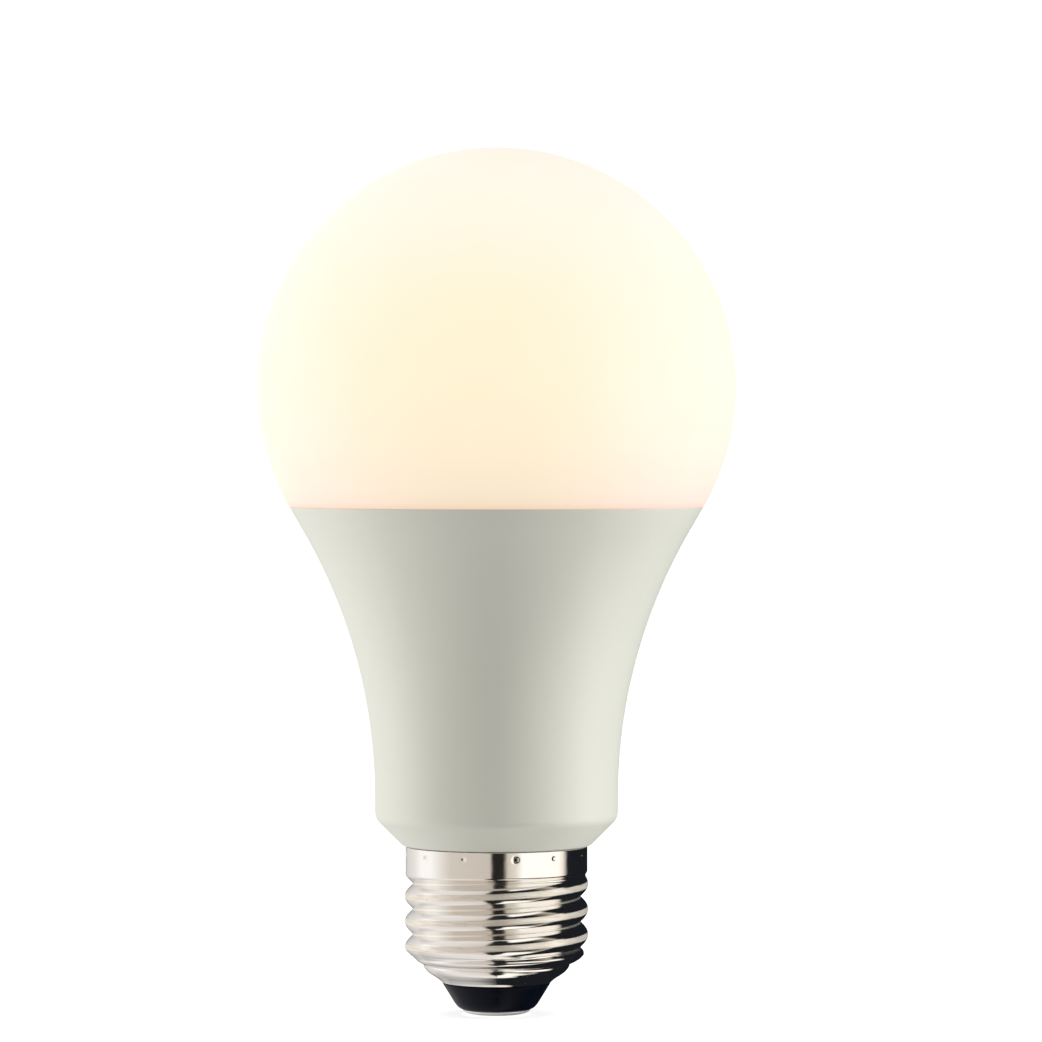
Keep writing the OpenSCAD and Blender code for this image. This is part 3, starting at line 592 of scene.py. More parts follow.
def can_material(name, colour, stripe, at, radius, low, high, upside_down=False):
    """Film sleeve with a pale stripe down one side, and the can's bare end with its vent cross, a bump groove
    darkened with painted shade.
    """
    s = Surface(name)
    x, y, z = s.axes()
    s.coat(s.mottled(colour, 1.5, 0.12, stretch=(1, 1, 0.4)), s.ramp(s.noise(1), [(0.3, 0.24), (0.7, 0.34)]))
    s.lay(s.both(s.window(x, at[0] - 0.9, at[0] + 0.9), s.span(y, at[1] - 1, at[1] - 1.1)), stripe, 0.3)
    off = s.distance(x, y, *at)
    end = low if upside_down else high
    inward = 0.5 if upside_down else -0.5
    bare = s.both(s.window(z, end - 0.45, end + 0.45, 0.02), s.span(off, radius - 0.5, radius - 0.6))
    s.lay(bare, s.mottled((0.80, 0.81, 0.82), 0.4, 0.1), 0.28, 1.0)
    arms = s.either(s.window(x, at[0] - 0.1, at[0] + 0.1, 0.05), s.window(y, at[1] - 0.1, at[1] + 0.1, 0.05))
    cross = s.both(s.both(arms, bare), s.span(off, radius * 0.6, radius * 0.55))
    # Painted shade: the scored vent cross is darkened to grey, over the groove that the bump cuts.
    s.lay(cross, (0.45, 0.45, 0.46), 0.4, 1.0)
    foot = high if upside_down else low
    leads = s.span(z, foot - inward * 0.02, foot + inward * 0.02)
    tinned_beyond(s, leads)
    tinned_beyond(s, s.span(y, DRIVER_FRONT_Y - 0.3, DRIVER_FRONT_Y - 0.2))
    s.bump(s.math("SUBTRACT", s.both(s.noise(1.2), 0.3), cross), 0.1)
    return s.done()


def dipped_material(name, colour):
    """A component dipped in glossy lacquer, like the peel of an orange, on tinned leads."""
    s = moulded(name, colour, 0.2, grain=0.9, relief=0.05)
    _, y, _ = s.axes()
    tinned_beyond(s, s.span(y, DRIVER_FRONT_Y - 0.07, DRIVER_FRONT_Y - 0.03))
    return s.done()


def leaded_plastic_material():
    """Black moulded bobbin on tinned pins."""
    s = moulded("bobbin_plastic", (0.045, 0.045, 0.045), 0.45)
    _, y, _ = s.axes()
    tinned_beyond(s, s.span(y, DRIVER_FRONT_Y - 0.01, DRIVER_FRONT_Y))
    return s.done()


def resistor_material():
    """Lacquered ceramic rod with end caps and plain colour rings."""
    at_x, at_z = RESISTOR_AT
    end_x, body_r, ring_half = 4.5, 1.8, 0.3
    brown, black, red, gold = (0.30, 0.12, 0.04), (0.02, 0.02, 0.02), (0.62, 0.06, 0.03), (0.70, 0.55, 0.22)
    s = moulded("resistor_lacquer", (0.33, 0.52, 0.40), 0.3, grain=0.5, relief=0.03)
    x, y, z = s.axes()
    for offset, colour in ((-1.8, brown), (-0.6, black), (0.6, red), (2.0, gold)):
        middle = at_x + offset
        s.lay(s.window(x, middle - ring_half, middle + ring_half, 0.03), colour, 0.3)
    tinned_beyond(s, s.span(s.math("ABSOLUTE", s.math("SUBTRACT", x, at_x * MM)), end_x - 0.01, end_x + 0.01))
    off = s.distance(y, z, DRIVER_FRONT_Y - body_r, at_z)
    tinned_beyond(s, s.span(off, body_r + 0.02, body_r + 0.05))
    return s.done()


def winding_material():
    """Enamelled copper wire, wound side by side along Y, with painted shade at each wire's edges and a
    painted highlight along its middle.
    """
    s = Surface("copper_winding")
    _, y, _ = s.axes()
    wire = s.math("DIVIDE", s.math("ABSOLUTE", s.repeated(y, 0.36, 0)), 0.18 * MM)
    lit = s.math("SUBTRACT", 1.0, s.math("POWER", wire, 2))
    # Painted shade and highlight: the copper goes dark at each wire's edges and bright along its middle. The
    # same round also drives the bump.
    copper = s.ramp(lit, [(0.0, (0.20, 0.08, 0.03)), (0.5, (0.70, 0.36, 0.17)), (1.0, (0.78, 0.42, 0.20))])
    s.coat(copper, 0.24, 1.0)
    s.lay(s.both(s.noise(1.5, detail=4), 0.3), (0.60, 0.26, 0.10), 0.3, 1.0)
    return s.bump(lit, 0.12).done()


def tape_material():
    """Yellow polyester tape: turns that overlap, small wrinkles and the winding's ridges under it."""
    s = Surface("winding_tape")
    _, y, _ = s.axes()
    s.coat(s.mottled((0.86, 0.68, 0.14), 1.5, 0.12), s.ramp(s.noise(0.8), [(0.3, 0.16), (0.7, 0.28)]))
    lap = s.window(s.repeated(y, 3.1, -3.4), -0.06, 0.06, 0.03)
    s.lay(lap, (0.60, 0.44, 0.06), 0.3)
    creases = s.noise(0.8, detail=3, stretch=(0.3, 1, 2.5))
    s.bump(s.math("SUBTRACT", creases, s.both(lap, 0.8)), 0.08)
    return s.done()


def chip_material(name, at, body_l, body_w, face_y):
    """Moulded chip on tinned legs, with a dimple that marks its first leg."""
    s = moulded(name, (0.035, 0.035, 0.038), 0.5, grain=0.12, relief=0.02)
    x, y, z = s.axes()
    beyond = s.math("ABSOLUTE", s.math("SUBTRACT", z, at[1] * MM))
    tinned_beyond(s, s.span(beyond, body_w / 2, body_w / 2 + 0.01))
    tinned_beyond(s, s.span(y, face_y + 0.11, face_y + 0.09))
    dimple = s.window(s.distance(x, z, at[0] - body_l / 2 + 0.7, at[1] - body_w / 2 + 0.7), -1, 0.32, 0.06)
    s.lay(dimple, (0.05, 0.05, 0.055), 0.2)
    s.bump(s.math("SUBTRACT", s.both(s.noise(0.12, detail=2), 0.15), dimple), 0.1)
    return s.done()


def ended_material(name, body, film, pitches, body_l, top_y):
    """Chip resistors or capacitors: tinned ends, and a film on top. The pitch of a row changes at split_x."""
    s = moulded(name, body, 0.4, grain=0.1)
    x, y, _ = s.axes()
    s.lay(s.span(y, top_y - 0.04, top_y - 0.02), s.mottled(film, 0.4), 0.3)
    (pitch, first), (other_pitch, other_first), split_x = pitches
    near = s.math("ABSOLUTE", s.repeated(x, pitch, first))
    other = s.math("ABSOLUTE", s.repeated(x, other_pitch, other_first))
    along = s.mix(s.span(x, split_x, split_x + 0.02), near, other)
    tinned_beyond(s, s.span(along, body_l / 2 - 0.32, body_l / 2 - 0.28))
    return s.done()


def shield_material():
    """Tin plated lid with rows of small vents."""
    s = metal("shield_tin", (0.74, 0.74, 0.71), 0.3, stretch=(3, 0.4, 0.4))
    x, y, z = s.axes()
    vent = s.window(s.distance(s.repeated(x, 1.6, 0), s.repeated(z, 1.6, 63)), -1, 0.3, 0.04)
    vent = s.both(vent, s.both(s.window(x, -4.2, 4.2), s.window(z, 60.3, 65.7)))
    # Painted shade: each vent is a near-black spot, standing in for the dark seen through the hole.
    s.lay(s.both(vent, s.span(y, 8.7, 8.75)), (0.05, 0.05, 0.05), 0.6, 0.3)
    return s.done()


def crystal_material():
    """Seam-welded metal lid on a small ceramic tub."""
    s = metal("crystal_lid", (0.78, 0.77, 0.74), 0.22)
    _, y, _ = s.axes()
    s.lay(s.span(y, MODULE_BACK_Y + 0.4, MODULE_BACK_Y + 0.38), s.mottled((0.42, 0.36, 0.28), 0.3), 0.5)
    return s.done()


def lead_material(name, colour, joint, joint_reach):
    """Stranded lead in silicone, stripped and tinned at the board and at its joint in the cap."""
    s = moulded(name, colour, 0.5, grain=0.2, relief=0.02)
    x, y, z = s.axes()
    tinned_beyond(s, s.span(y, DRIVER_BACK_Y + 0.14, DRIVER_BACK_Y + 0.1))
    flat = s.distance(x, y, joint[0], joint[1])
    drop = s.math("SUBTRACT", z, joint[2] * MM)
    away = s.math("SQRT", s.math("ADD", s.both(flat, flat), s.both(drop, drop)))
    tinned_beyond(s, s.span(away, joint_reach + 0.02, joint_reach - 0.02))
    return s.done()


def screw_material():
    """Zinc plated pan head: turned rings, and painted shade in the cross recess."""
    s = metal("screw_steel", (0.70, 0.70, 0.71), 0.26)
    x, y, z = s.axes()
    along, out = s.on_ring(x, y, SCREWS, SCREW_RING_R, SCREW_TURN)
    off = s.distance(along, out)
    rings = s.window(s.repeated(off, 0.25, 0), -0.03, 0.03, 0.03)
    s.lay(s.both(rings, s.span(z, LED_FACE_Z, LED_FACE_Z + 0.1)), (0.55, 0.55, 0.56), 0.32, 1.0)
    # Painted shade: the cross recess is darkened to grey.
    depth = s.both(s.window(off, -1, 1.25), s.window(z, LED_FACE_Z + 0.6, LED_FACE_Z + 1.56, 0.02))
    s.lay(depth, (0.22, 0.22, 0.23), 0.5, 1.0)
    s.bump(rings, 0.01)
    return s.done()


def aluminium_material():
    """Drawn cup: fine lines round it, straighter draw marks up its flank."""
    s = metal("sink_aluminium", (0.80, 0.81, 0.82), 0.3, stretch=(0.2, 0.2, 5), relief=0.015)
    s.lay(s.both(s.noise(1.2, detail=4, stretch=(2.5, 2.5, 0.15)), 0.4), (0.68, 0.69, 0.70), 0.4, 1.0)
    return s.done()


def carried_materials():
    """A material for each CAD node that still shows."""
    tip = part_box("contact_solder")[1].z / MM
    blob = (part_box("shell_solder")[0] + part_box("shell_solder")[1]) / 2 / MM
    white = (0.86, 0.86, 0.83)
    white_ring = (WHITE_LEDS, WHITE_RING_R)
    colour_ring = (COLOUR_LEDS, COLOUR_RING_R)
    ferrite = moulded("core_ferrite", (0.12, 0.12, 0.13), 0.5, grain=0.3, relief=0.03, spread=0.25)
    return {
        "globe_adhesive": moulded("silicone", white, 0.42, grain=0.9, relief=0.08).done(),
        "heat_sink": aluminium_material(),
        "thermal_paste": moulded("thermal_paste", (0.78, 0.78, 0.77), 0.5, grain=0.6, relief=0.06).done(),
        "led_board": led_board_material(),
        "led_board_screws": screw_material(),
        "warm_white_leds": led_material("warm_leds", *white_ring, (0.95, 0.60, 0.12), (0.98, 0.70, 0.25)),
        "cool_white_leds": led_material("cool_leds", *white_ring, (0.93, 0.86, 0.22), (0.96, 0.92, 0.40)),
        "red_leds": led_material("red_leds", *colour_ring, (0.80, 0.62, 0.58), (0.75, 0.08, 0.05)),
        "green_leds": led_material("green_leds", *colour_ring, (0.60, 0.78, 0.62), (0.08, 0.55, 0.16)),
        "blue_leds": led_material("blue_leds", *colour_ring, (0.58, 0.66, 0.84), (0.06, 0.16, 0.75)),
        "pin_header": moulded("header_plastic", (0.04, 0.04, 0.04), 0.4).done(),
        "module_spacer": moulded("spacer_plastic", (0.05, 0.05, 0.05), 0.45).done(),
        "transformer_bobbin": leaded_plastic_material(),
        "header_pins": metal("header_gilt", GILT, 0.2, stretch=(4, 4, 0.3)).done(),
        "module_pins": metal("module_gilt", GILT, 0.2, stretch=(4, 0.3, 4)).done(),
        "driver_board": laminate_material(
            "driver_laminate", (0.05, 0.27, 0.12), DRIVER_FRONT_Y, DRIVER_BACK_Y, 1.3
        ),
        "wireless_board": laminate_material(
            "module_laminate", (0.02, 0.11, 0.07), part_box("wireless_board")[0].y / MM, MODULE_BACK_Y, 0.8
        ),
        "aerial_trace": metal("aerial_copper", (0.85, 0.60, 0.28), 0.25).done(),
        "bulk_capacitor": can_material(
            "bulk_can", BLACK_FILM, (0.62, 0.63, 0.64), BULK_CAN_AT, 4.5, 12.6, 26.0, upside_down=True
        ),
        "output_capacitor": can_material(
            "output_can", BLACK_FILM, (0.60, 0.52, 0.25), OUTPUT_CAN_AT, 4, 46, 57.5
        ),
        "supply_capacitor": can_material(
            "supply_can", (0.03, 0.06, 0.22), (0.62, 0.65, 0.72), SUPPLY_CAN_AT, 2.5, 47, 56
        ),
        "film_capacitor": dipped_material("film_epoxy", (0.58, 0.13, 0.07)),
        "varistor": dipped_material("varistor_epoxy", (0.08, 0.20, 0.52)),
        "choke_core": dipped_material("choke_ferrite", (0.11, 0.11, 0.12)),
        "transformer_core": ferrite.done(),
        "choke_winding": winding_material(),
        "transformer_winding": tape_material(),
        "fusible_resistor": resistor_material(),
        "bridge_rectifier": chip_material("bridge_epoxy", (-4.5, 33), 4.7, 3.9, DRIVER_BACK_Y),
        "driver_chip": chip_material("driver_epoxy", (5, 40), 4.9, 3.9, DRIVER_BACK_Y),
        "colour_driver_chip": chip_material("colour_driver_epoxy", (-3, 49), 9.9, 3.9, DRIVER_BACK_Y),
        "output_diode": chip_material("diode_epoxy", (9, 50), 4.3, 2.6, DRIVER_BACK_Y),
        "wireless_chip": chip_material("wireless_epoxy", (-1.6, 63), 5, 5, MODULE_BACK_Y),
        "chip_resistors": ended_material(
            "thick_film", (0.80, 0.79, 0.76), (0.03, 0.03, 0.032), ((3, -10.8), (3, 3.2), 0), 2,
            DRIVER_BACK_Y + 0.5
        ),
        "chip_capacitors": ended_material(
            "chip_ceramic", (0.52, 0.40, 0.26), (0.50, 0.38, 0.25), ((2.8, -10.6), (3, 3.2), 1.9), 1.6,
            DRIVER_BACK_Y + 0.8
        ),
        "module_shield": shield_material(),
        "crystal": crystal_material(),
        "live_lead": lead_material("live_silicone", (0.60, 0.05, 0.04), (0, 0, tip), 0.8),
        "neutral_lead": lead_material("neutral_silicone", (0.86, 0.86, 0.84), tuple(blob), 2.5),
        "contact_solder": metal("contact_solder", SOLDER, 0.22, relief=0.03).done(),
        "shell_solder": metal("shell_solder", SOLDER, 0.22, relief=0.03).done(),
        "contact_sleeve": metal("sleeve_brass", (0.78, 0.62, 0.33), 0.25, stretch=(0.3, 0.3, 5)).done(),
    }


# ---- Visible pieces ----

def globe():
    outer = arc((0, GLOBE_Z), GLOBE_R, 90, -math.degrees(FLARE_ANGLE) + 0.4, 110)
    inner_low = math.degrees(math.asin((SEAM_Z + GLOBE_LEDGE_T - GLOBE_Z) / (GLOBE_R - GLOBE_WALL)))
    inner = arc((0, GLOBE_Z), GLOBE_R - GLOBE_WALL, inner_low, 90, 70)
    lip_in = GLOBE_LIP_R - GLOBE_LIP_WALL
    lip = [
        (SEAM_R, SEAM_Z, 0.16), (GLOBE_LIP_R, SEAM_Z, 0.1), (GLOBE_LIP_R, GLOBE_LIP_LOW, 0.3),
        (lip_in, GLOBE_LIP_LOW, 0.3), (lip_in, SEAM_Z + GLOBE_LEDGE_T, 0.3),
    ]
    corners = [(r, z, 0) for r, z in outer] + lip + [(r, z, 0) for r, z in inner]
    corners[0], corners[-1] = (0, BULB_H, 0), (0, BULB_H - GLOBE_WALL, 0)
    outline = rounded(corners)[::-1]
    return finish_piece(lathe("globe_shell", outline, 256), globe_material(), "frosted_globe", "globe")


def flank(inset):
    """The housing's flank from seam to neck, moved inwards by inset."""
    centre = (NECK_R + FLARE_RADIUS, NECK_TOP_Z)
    curve = arc(centre, FLARE_RADIUS + inset, 180 - math.degrees(FLARE_ANGLE), 180, 60)
    rim_r = curve[0][0] + (SEAM_Z - curve[0][1]) * math.tan(FLARE_ANGLE)
    return [(rim_r, SEAM_Z)] + curve


def housing(plastic):
    neck_in = NECK_R - HOUSING_WALL
    outer = [(r, z, 0.22 if n == 0 else 0) for n, (r, z) in enumerate(flank(0))]
    inner = [(r, z, 0.3 if n == 0 else 0) for n, (r, z) in enumerate(flank(HOUSING_WALL))]
    foot = [
        (NECK_R, FOOT_TOP_Z, 0.9), (FOOT_R, FOOT_Z, 0.5), (COLLAR_TOP_R, FOOT_Z, 0),
        (COLLAR_TOP_R, SKIRT_TUCK_Z, 0.2), (COLLAR_LOW_R, SKIRT_TUCK_Z, 0), (COLLAR_LOW_R, COLLAR_LOW_Z, 0.3),
        (COLLAR_BORE_R, COLLAR_LOW_Z, 0.3), (COLLAR_BORE_R, FLOOR_Z, 0.4), (FLOOR_R, FLOOR_Z, 0.3),
        (neck_in, FLOOR_Z + neck_in - FLOOR_R, 0.6),
    ]
    outline = rounded(outer + foot + inner[::-1])[::-1]
    return finish_piece(lathe("housing_body", outline, 256), plastic, "housing_plastic", "housing")


def board_guides(plastic):
    """The two slotted guides that hold the driver board's edges, grown from the neck's wall and the floor."""
    edge_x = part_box("driver_board")[1].x / MM
    inner_x = edge_x - GUIDE_BITE
    slot_x = edge_x + GUIDE_GAP
    slot_low, slot_high = DRIVER_FRONT_Y - GUIDE_GAP / 2, DRIVER_BACK_Y + GUIDE_GAP / 2
    low, high = DRIVER_FRONT_Y - GUIDE_CHEEK, DRIVER_BACK_Y + GUIDE_CHEEK
    wall_r = NECK_R - HOUSING_WALL / 2
    floor_r = FLOOR_R + HOUSING_WALL / 2
    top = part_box("heat_sink")[0].z / MM - 2 * GUIDE_GAP
    points, faces = [], []
    for side in (-1, 1):
        first = len(points)
        for z, reach in ((FLOOR_Z, floor_r), (FLOOR_Z + wall_r - floor_r, wall_r), (top, wall_r)):
            plan = [(inner_x, low)]
            plan += [(math.sqrt(reach ** 2 - y ** 2), y) for y in np.linspace(low, high, 9)]
            plan += [(inner_x, high), (inner_x, slot_high), (slot_x, slot_high)]
            plan += [(slot_x, slot_low), (inner_x, slot_low)]
            points += [(side * x, y, z) for x, y in plan]
        count = len(plan)
        faces += [face[::side] for face in faces_of_prism(first, count, 3)]
    piece = add_mesh("board_guides", points, faces)
    return finish_piece(piece, plastic, "housing_plastic")


def faces_of_prism(first, count, levels):
    """Faces of a closed prism: count points on each level, anticlockwise from above."""
    faces = []
    for level in range(levels - 1):
        for i in range(count):
            k = (i + 1) % count
            a, b = first + level * count, first + (level + 1) * count
            faces.append((a + i, a + k, b + k, b + i))
    top = first + (levels - 1) * count
    return faces + [tuple(reversed(range(first, first + count))), tuple(range(top, top + count))]


CONE_HEIGHTS = (CAP_MOUTH_Z, 4.9, 5.3, 5.7, 6.1, 6.5, 6.9, 7.12, 7.3, 7.6, 8.0, 8.5, 9.0, CONE_TOP_Z)
CONE_RADII = (CAP_MOUTH_R, 8.1, 8.65, 9.3, 9.85, 10.2, 10.42, 10.42, 10.7, 11.35, 12.0, 12.6, 12.95, CREST_R)
GROOVE_BLUNTNESS = 0.1


def groove_wave(turns):
    """0 on the crests and 1 in the grooves: broad round crests with narrow grooves between them."""
    from_groove = np.abs(2 * ((turns + 0.5) % 1) - 1)
    run = np.sqrt((1 - from_groove) ** 2 + GROOVE_BLUNTNESS ** 2) - GROOVE_BLUNTNESS
    full = math.sqrt(1 + GROOVE_BLUNTNESS ** 2) - GROOVE_BLUNTNESS
    share = run / full
    return 1 - share * (2 - share)


def shell_radius(z, turn):
    """Outer radius of the threaded shell at height z and angle turn, both arrays or numbers.

    Below the thread the sheet runs in to a crease and then bulges round to the mouth.
    """
    cone = np.interp(z, CONE_HEIGHTS, CONE_RADII)
    into_skirt = smooth((z - GROOVE_END_Z[0]) / (GROOVE_END_Z[1] - GROOVE_END_Z[0]))
    straight = CREST_R + (SKIRT_R - CREST_R) * into_skirt
    envelope = np.where(z < CONE_TOP_Z, cone, straight)
    grown = smooth((z - GROOVE_START_Z[0]) / (GROOVE_START_Z[1] - GROOVE_START_Z[0]))
    wave = groove_wave((z - CREST_AT_X_Z) / THREAD_PITCH - turn / (2 * math.pi))
    return envelope - THREAD_DEPTH * grown * (1 - into_skirt) * wave


CRIMP_TURNS = tuple(30 * k + 9 for k in range(12))
CRIMP_Z = CAP_TOP_Z - 1.05
CRIMP_R = 0.42
CRIMP_DEPTH = 0.2
DEEP_CRIMP_TURN = 12
DEEP_CRIMP_SHARE = 1.4


def crimp_depth(z, turn):
    """How far the punched dimples near the skirt's upper edge go in. One of them was punched deeper."""
    depth = 0
    for degrees in CRIMP_TURNS:
        deep = degrees == CRIMP_TURNS[0]
        centre = math.radians((DEEP_CRIMP_TURN if deep else degrees) - 90)
        share = DEEP_CRIMP_SHARE if deep else 1
        off = (turn - centre + math.pi) % (2 * math.pi) - math.pi
        away = np.hypot(off * SKIRT_R, z - CRIMP_Z) / (CRIMP_R * math.sqrt(share))
        depth = depth + CRIMP_DEPTH * share * (1 - smooth(away * 0.8))
    return depth


def cap_shell():
    count = 480
    turn = np.arange(count) * 2 * math.pi / count
    thread_rows = np.concatenate([
        np.linspace(CAP_MOUTH_Z, 7.0, 24), np.linspace(7.05, 8.0, 20), np.linspace(8.1, SKIRT_Z, 220)
    ])
    skirt_rows = np.linspace(SKIRT_Z, CAP_TOP_Z - 0.12, 26)[1:]
    wall = np.where(thread_rows < CONE_TOP_Z, CAP_WALL * math.hypot(1, CONE_SLOPE), CAP_WALL)
    outer = [ring(shell_radius(z, turn), z, count) for z in thread_rows]
    outer += [ring(SKIRT_R - crimp_depth(z, turn), z, count) for z in skirt_rows]
    lip = [
        ring(SKIRT_R - 0.04, CAP_TOP_Z - 0.04, count), ring(SKIRT_R - 0.12, CAP_TOP_Z, count),
        ring(SKIRT_R - CAP_WALL, CAP_TOP_Z, count),
    ]
    inner = [ring(SKIRT_R - CAP_WALL - crimp_depth(z, turn), z, count) for z in skirt_rows[::-2]]
    inner += [
        ring(shell_radius(z, turn) - w, z, count) for z, w in list(zip(thread_rows, wall))[::-3]
    ]
    piece = rings_solid("screw_shell", outer + lip + inner)
    return finish_piece(piece, cap_material(), "cap_nickel", "cap_shell")


def insulator():
    low, high = (v.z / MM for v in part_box("cap_insulator"))
    shoulder = CAP_MOUTH_R - 2 * CAP_WALL - 0.1
    top_r = shoulder + (high - CAP_MOUTH_Z) * CONE_SLOPE
    bore, well_r, well_z = 1.55, 3, 6.6
    edge_z = CAP_MOUTH_Z - 0.1
    outline = rounded([
        (bore, low, 0), (CONTACT_R, low, 0.1), (5.4, 0.95, 0.3), (5.9, 1.5, 0.4),
        (CAP_MOUTH_R - 0.05, edge_z, 0.2), (shoulder, edge_z, 0), (top_r, high, 0.3),
        (top_r - 1.4, high, 0.4), (well_r, CAP_MOUTH_Z, 0.5), (well_r, well_z, 0.4), (bore, well_z, 0.2),
    ])
    return finish_piece(lathe("glass_insulator", outline), glass_material(), "cap_glass", "cap_insulator")


def centre_contact():
    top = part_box("centre_contact")[1].z / MM
    stem_r = 1
    outline = rounded([
        (0, 0, 0), (3.2, 0, 0.8), (4.3, 0.2, 0.5), (CONTACT_R, 0.52, 0.15),
        (CONTACT_R, CONTACT_HEAD_T, 0.1), (stem_r, CONTACT_HEAD_T, 0.2), (stem_r, top - 0.5, 0.2),
        (0.4, top, 0.1), (0, top, 0),
    ])
    return finish_piece(
        lathe("contact_nail", outline, 128), contact_material(), "contact_metal", "centre_contact"
    )


def solder_joints():
    """Solder fillets round the leads where they come through the back of the driver board."""
    pairs = (
        ((OUTPUT_CAN_AT[0], 44.4), (1.75, 0)), ((SUPPLY_CAN_AT[0], 45.4), (1, 0)),
        ((BULK_CAN_AT[0], 28.6), (1.75, 0)), (RESISTOR_AT, (5.7, 0)), (FILM_CAPACITOR_AT, (3.75, 0)),
        (VARISTOR_AT, (0, 1.5)), (CHOKE_AT, (2.5, 0)),
        (TRANSFORMER_AT, (3.2, 4.8)), (TRANSFORMER_AT, (3.2, -4.8)),
    )
    places = [(x + side * dx, z + side * dz) for (x, z), (dx, dz) in pairs for side in (-1, 1)]
    profile = [(0.85, 0.02), (0.84, 0.08), (0.6, 0.2), (0.45, 0.42), (0.38, 0.72), (0.3, 0.86)]
    count = 24
    turn = np.arange(count) * 2 * math.pi / count
    points, faces = [], []
    for x, z in places:
        first = len(points)
        for radius, rise in profile:
            for c, d in zip(np.cos(turn), np.sin(turn)):
                points.append((x + radius * c, DRIVER_BACK_Y + rise, z + radius * d))
        faces += [face[::-1] for face in faces_of_prism(first, count, len(profile))]
    material = metal("joint_solder", SOLDER, 0.2, relief=0.02).done()
    return finish_piece(add_mesh("solder_joints", points, faces), material, "solder")


def paint_carried_nodes():
    for name, material in carried_materials().items():
        node = frame["nodes"][name]
        node.data.materials.clear()
        node.data.materials.append(material)


# ---- Studio ----

ROOM_RADIUS = 1200
DARK = (0.02, 0.02, 0.02)
NIGHT = (0.012, 0.014, 0.018)
ROOM_LEVEL = (
    (-180, (0.10, 0.09, 0.09)), (-168, (0.50, 0.48, 0.47)), (-153, (0.74, 0.73, 0.72)),
    (-126, (0.92, 0.90, 0.88)), (-110, (1.12, 1.12, 1.11)), (-92, (1.12, 1.12, 1.11)),
    (-74, (0.90, 0.87, 0.84)), (-60, (0.73, 0.68, 0.62)), (-20, (0.68, 0.62, 0.56)),
    (-8, (0.66, 0.60, 0.54)), (-5, (0.02, 0.018, 0.016)), (9, (0.02, 0.018, 0.016)),
    (14, (0.70, 0.65, 0.56)), (24, (0.85, 0.81, 0.72)), (34, (1.25, 1.24, 1.19)),
    (84, (1.25, 1.22, 1.14)), (93, (1.0, 0.94, 0.84)), (101, NIGHT),
    (176, NIGHT),
)
ROOM_STRIP = (
    (-180, 0.05), (-160, (0.50, 0.49, 0.48)), (-110, (0.95, 0.93, 0.92)),
    (-50, (0.82, 0.78, 0.75)), (-20, (0.74, 0.69, 0.64)), (-12, DARK),
    (54, DARK), (70, (0.22, 0.19, 0.15)), (86, (0.50, 0.46, 0.40)),
    (94, NIGHT), (180, NIGHT),
)
ROOM_WEDGE = (
    (-180, 0.05), (-160, (0.50, 0.49, 0.48)), (-110, (0.95, 0.93, 0.92)),
    (-50, (0.86, 0.82, 0.79)), (-20, (0.78, 0.73, 0.68)), (-12, DARK),
    (14, DARK), (25, (1.25, 1.23, 1.17)), (84, (1.15, 1.12, 1.05)),
    (94, NIGHT), (180, NIGHT),
)
ROOM_ABOVE = (
    (-180, (0.90, 0.87, 0.84)), (-150, (0.84, 0.82, 0.81)), (-118, (0.88, 0.87, 0.89)),
    (-70, (0.98, 0.97, 1.0)), (-28, (0.90, 0.87, 0.85)), (-14, (0.78, 0.73, 0.68)),
    (-9, DARK), (4, DARK), (12, (0.85, 0.82, 0.76)),
    (26, (1.28, 1.27, 1.22)), (84, (1.25, 1.23, 1.17)), (110, (1.10, 1.06, 1.0)),
    (166, (1.10, 1.06, 1.0)), (180, (0.92, 0.89, 0.86)),
)
ROOM_BELOW = (
    (-180, (0.90, 0.86, 0.82)), (-150, (0.86, 0.82, 0.79)), (-110, (0.97, 0.95, 0.94)),
    (-50, (0.88, 0.84, 0.80)), (-14, (0.76, 0.71, 0.65)), (-9, DARK),
    (4, DARK), (12, (0.80, 0.77, 0.70)), (26, (1.28, 1.26, 1.20)),
    (84, (1.22, 1.19, 1.13)), (110, (1.05, 1.01, 0.95)), (166, (1.0, 0.96, 0.90)),
    (180, (0.92, 0.88, 0.84)),
)


def room():
    """The studio as reflections show it: light walls and a dark gap, drawn by the direction they lie in.

    Only glossy rays see it. Azimuth 0 is the front and + is right; all angles are in degrees.
    """
    outline = arc((0, 0), ROOM_RADIUS, -90, 90, 24)
    shell = lathe("room", [(0, -ROOM_RADIUS)] + outline[1:-1] + [(0, ROOM_RADIUS)], 64)
    shell.location = (cad_low + cad_high) / 2
    s = Surface("room", Roughness=1.0, Specular_IOR_Level=0.0, Base_Color=(0, 0, 0), Emission_Strength=1.0)
    x, y, z = s.axes()
    azimuth = s.math("ARCTAN2", x, s.math("MULTIPLY", y, -1.0))
    around = s.math("ADD", s.math("DIVIDE", azimuth, 2 * math.pi), 0.5)
    elevation = s.math("ARCSINE", s.math("DIVIDE", z, ROOM_RADIUS * MM))
    up = s.math("ADD", s.math("DIVIDE", elevation, math.pi), 0.5)

    def wall(stops):
        return s.ramp(around, [((degrees + 180) / 360, colour) for degrees, colour in stops])

    def blend(start, end, low, high):
        share = s.ramp(up, [((start + 90) / 180, 0.0), ((end + 90) / 180, 1.0)])
        return s.mix(share, low, high)

    colour = wall(ROOM_BELOW)
    for start, end, stops in (
        (-78, -72, ROOM_WEDGE), (-62, -56, ROOM_STRIP), (-36, -31, ROOM_LEVEL), (23, 28, ROOM_STRIP),
        (50, 56, ROOM_WEDGE), (68, 74, ROOM_ABOVE),
    ):
        colour = blend(start, end, colour, wall(stops))
    s.link(colour, s.shader.inputs["Emission Color"])
    s.material.cycles.emission_sampling = "NONE"
    shell.data.materials.append(s.material)
    shell.visible_camera = False
    shell.visible_diffuse = False
    shell.visible_shadow = False
    shell.visible_transmission = False


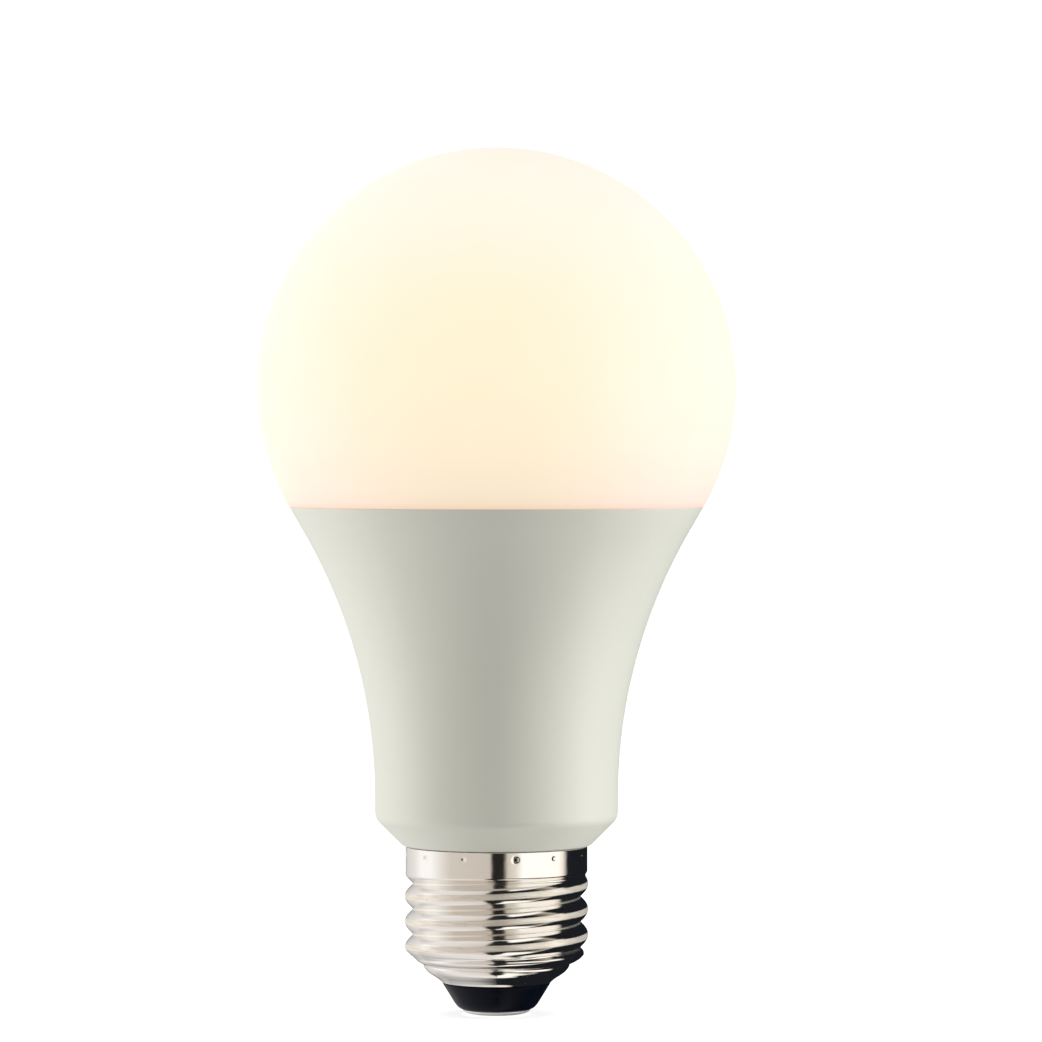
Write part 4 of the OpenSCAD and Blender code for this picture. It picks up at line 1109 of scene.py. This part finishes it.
def area_light(name, azimuth, elevation, distance, size, watts, colour=(1, 1, 1)):
    a, e = math.radians(azimuth), math.radians(elevation)
    middle = (cad_low + cad_high) / 2
    way = Vector((math.sin(a) * math.cos(e), -math.cos(a) * math.cos(e), math.sin(e)))
    data = bpy.data.lights.new(name, "AREA")
    data.shape = "RECTANGLE"
    data.size, data.size_y = size
    data.energy = watts
    data.color = colour
    light = bpy.data.objects.new(name, data)
    bpy.context.scene.collection.objects.link(light)
    light.location = middle + way * distance
    light.rotation_euler = way.to_track_quat("Z", "Y").to_euler()
    light.visible_glossy = False
    return light


def floor():
    """Pale floor that only the camera sees, so that the bulb is lit as in a light tent."""
    top = -0.02
    half = 6000
    corners = ((-half, -half), (half, -half), (half, half), (-half, half))
    points = [(x, y, z) for z in (top - 10, top) for x, y in corners]
    piece = add_mesh("floor", points, faces_of_prism(0, 4, 2))
    s = Surface("floor_paper", Roughness=0.9, Emission_Strength=1.0, Specular_IOR_Level=0.0)
    s.base(s.ramp(s.noise(60), [(0.3, 0.88), (0.7, 0.90)]))
    s.shader.inputs["Emission Color"].default_value = (0.66, 0.66, 0.66, 1)
    piece.data.materials.append(s.material)
    piece.visible_diffuse = False
    piece.visible_glossy = False
    piece.visible_shadow = False


def world():
    """Even grey light from all round, which the camera sees as white."""
    made = bpy.data.worlds.new("studio")
    made.use_nodes = True
    nodes, links = made.node_tree.nodes, made.node_tree.links
    fill = nodes["Background"]
    fill.inputs["Color"].default_value = (1, 0.99, 0.97, 1)
    fill.inputs["Strength"].default_value = 0.54
    seen = nodes.new("ShaderNodeBackground")
    seen.inputs["Color"].default_value = (1, 1, 1, 1)
    seen.inputs["Strength"].default_value = 1.05
    mix = nodes.new("ShaderNodeMixShader")
    links.new(nodes.new("ShaderNodeLightPath").outputs["Is Camera Ray"], mix.inputs[0])
    links.new(fill.outputs[0], mix.inputs[1])
    links.new(seen.outputs[0], mix.inputs[2])
    links.new(mix.outputs[0], nodes["World Output"].inputs["Surface"])
    bpy.context.scene.world = made


def lights():
    area_light("left_box", -106, -12, 0.7, (0.4, 0.6), 3.3, (0.97, 0.985, 1))
    area_light("right_box", 98, -6, 0.7, (0.4, 0.6), 4.2, (0.97, 0.985, 1))
    area_light("top_box", 0, 85, 0.7, (0.6, 0.6), 1.0)


def camera():
    """Far away and just above the seam, aimed a little right of the bulb's axis."""
    distance = 770
    height = 82
    aim = Vector((3.5, 0, 70.4)) * MM
    data = bpy.data.cameras.new("camera")
    data.lens = 186.5
    data.clip_end = 30
    seat = bpy.data.objects.new("camera", data)
    bpy.context.scene.collection.objects.link(seat)
    seat.location = Vector((0, -distance, height)) * MM
    seat.rotation_euler = (aim - seat.location).to_track_quat("-Z", "Y").to_euler()
    bpy.context.scene.camera = seat


def main():
    bpy.context.scene.view_settings.view_transform = "Standard"
    camera()
    world()
    lights()
    room()
    floor()
    paint_carried_nodes()
    solder_joints()
    globe()
    plastic = housing_material()
    housing(plastic)
    board_guides(plastic)
    cap_shell()
    insulator()
    centre_contact()


main()
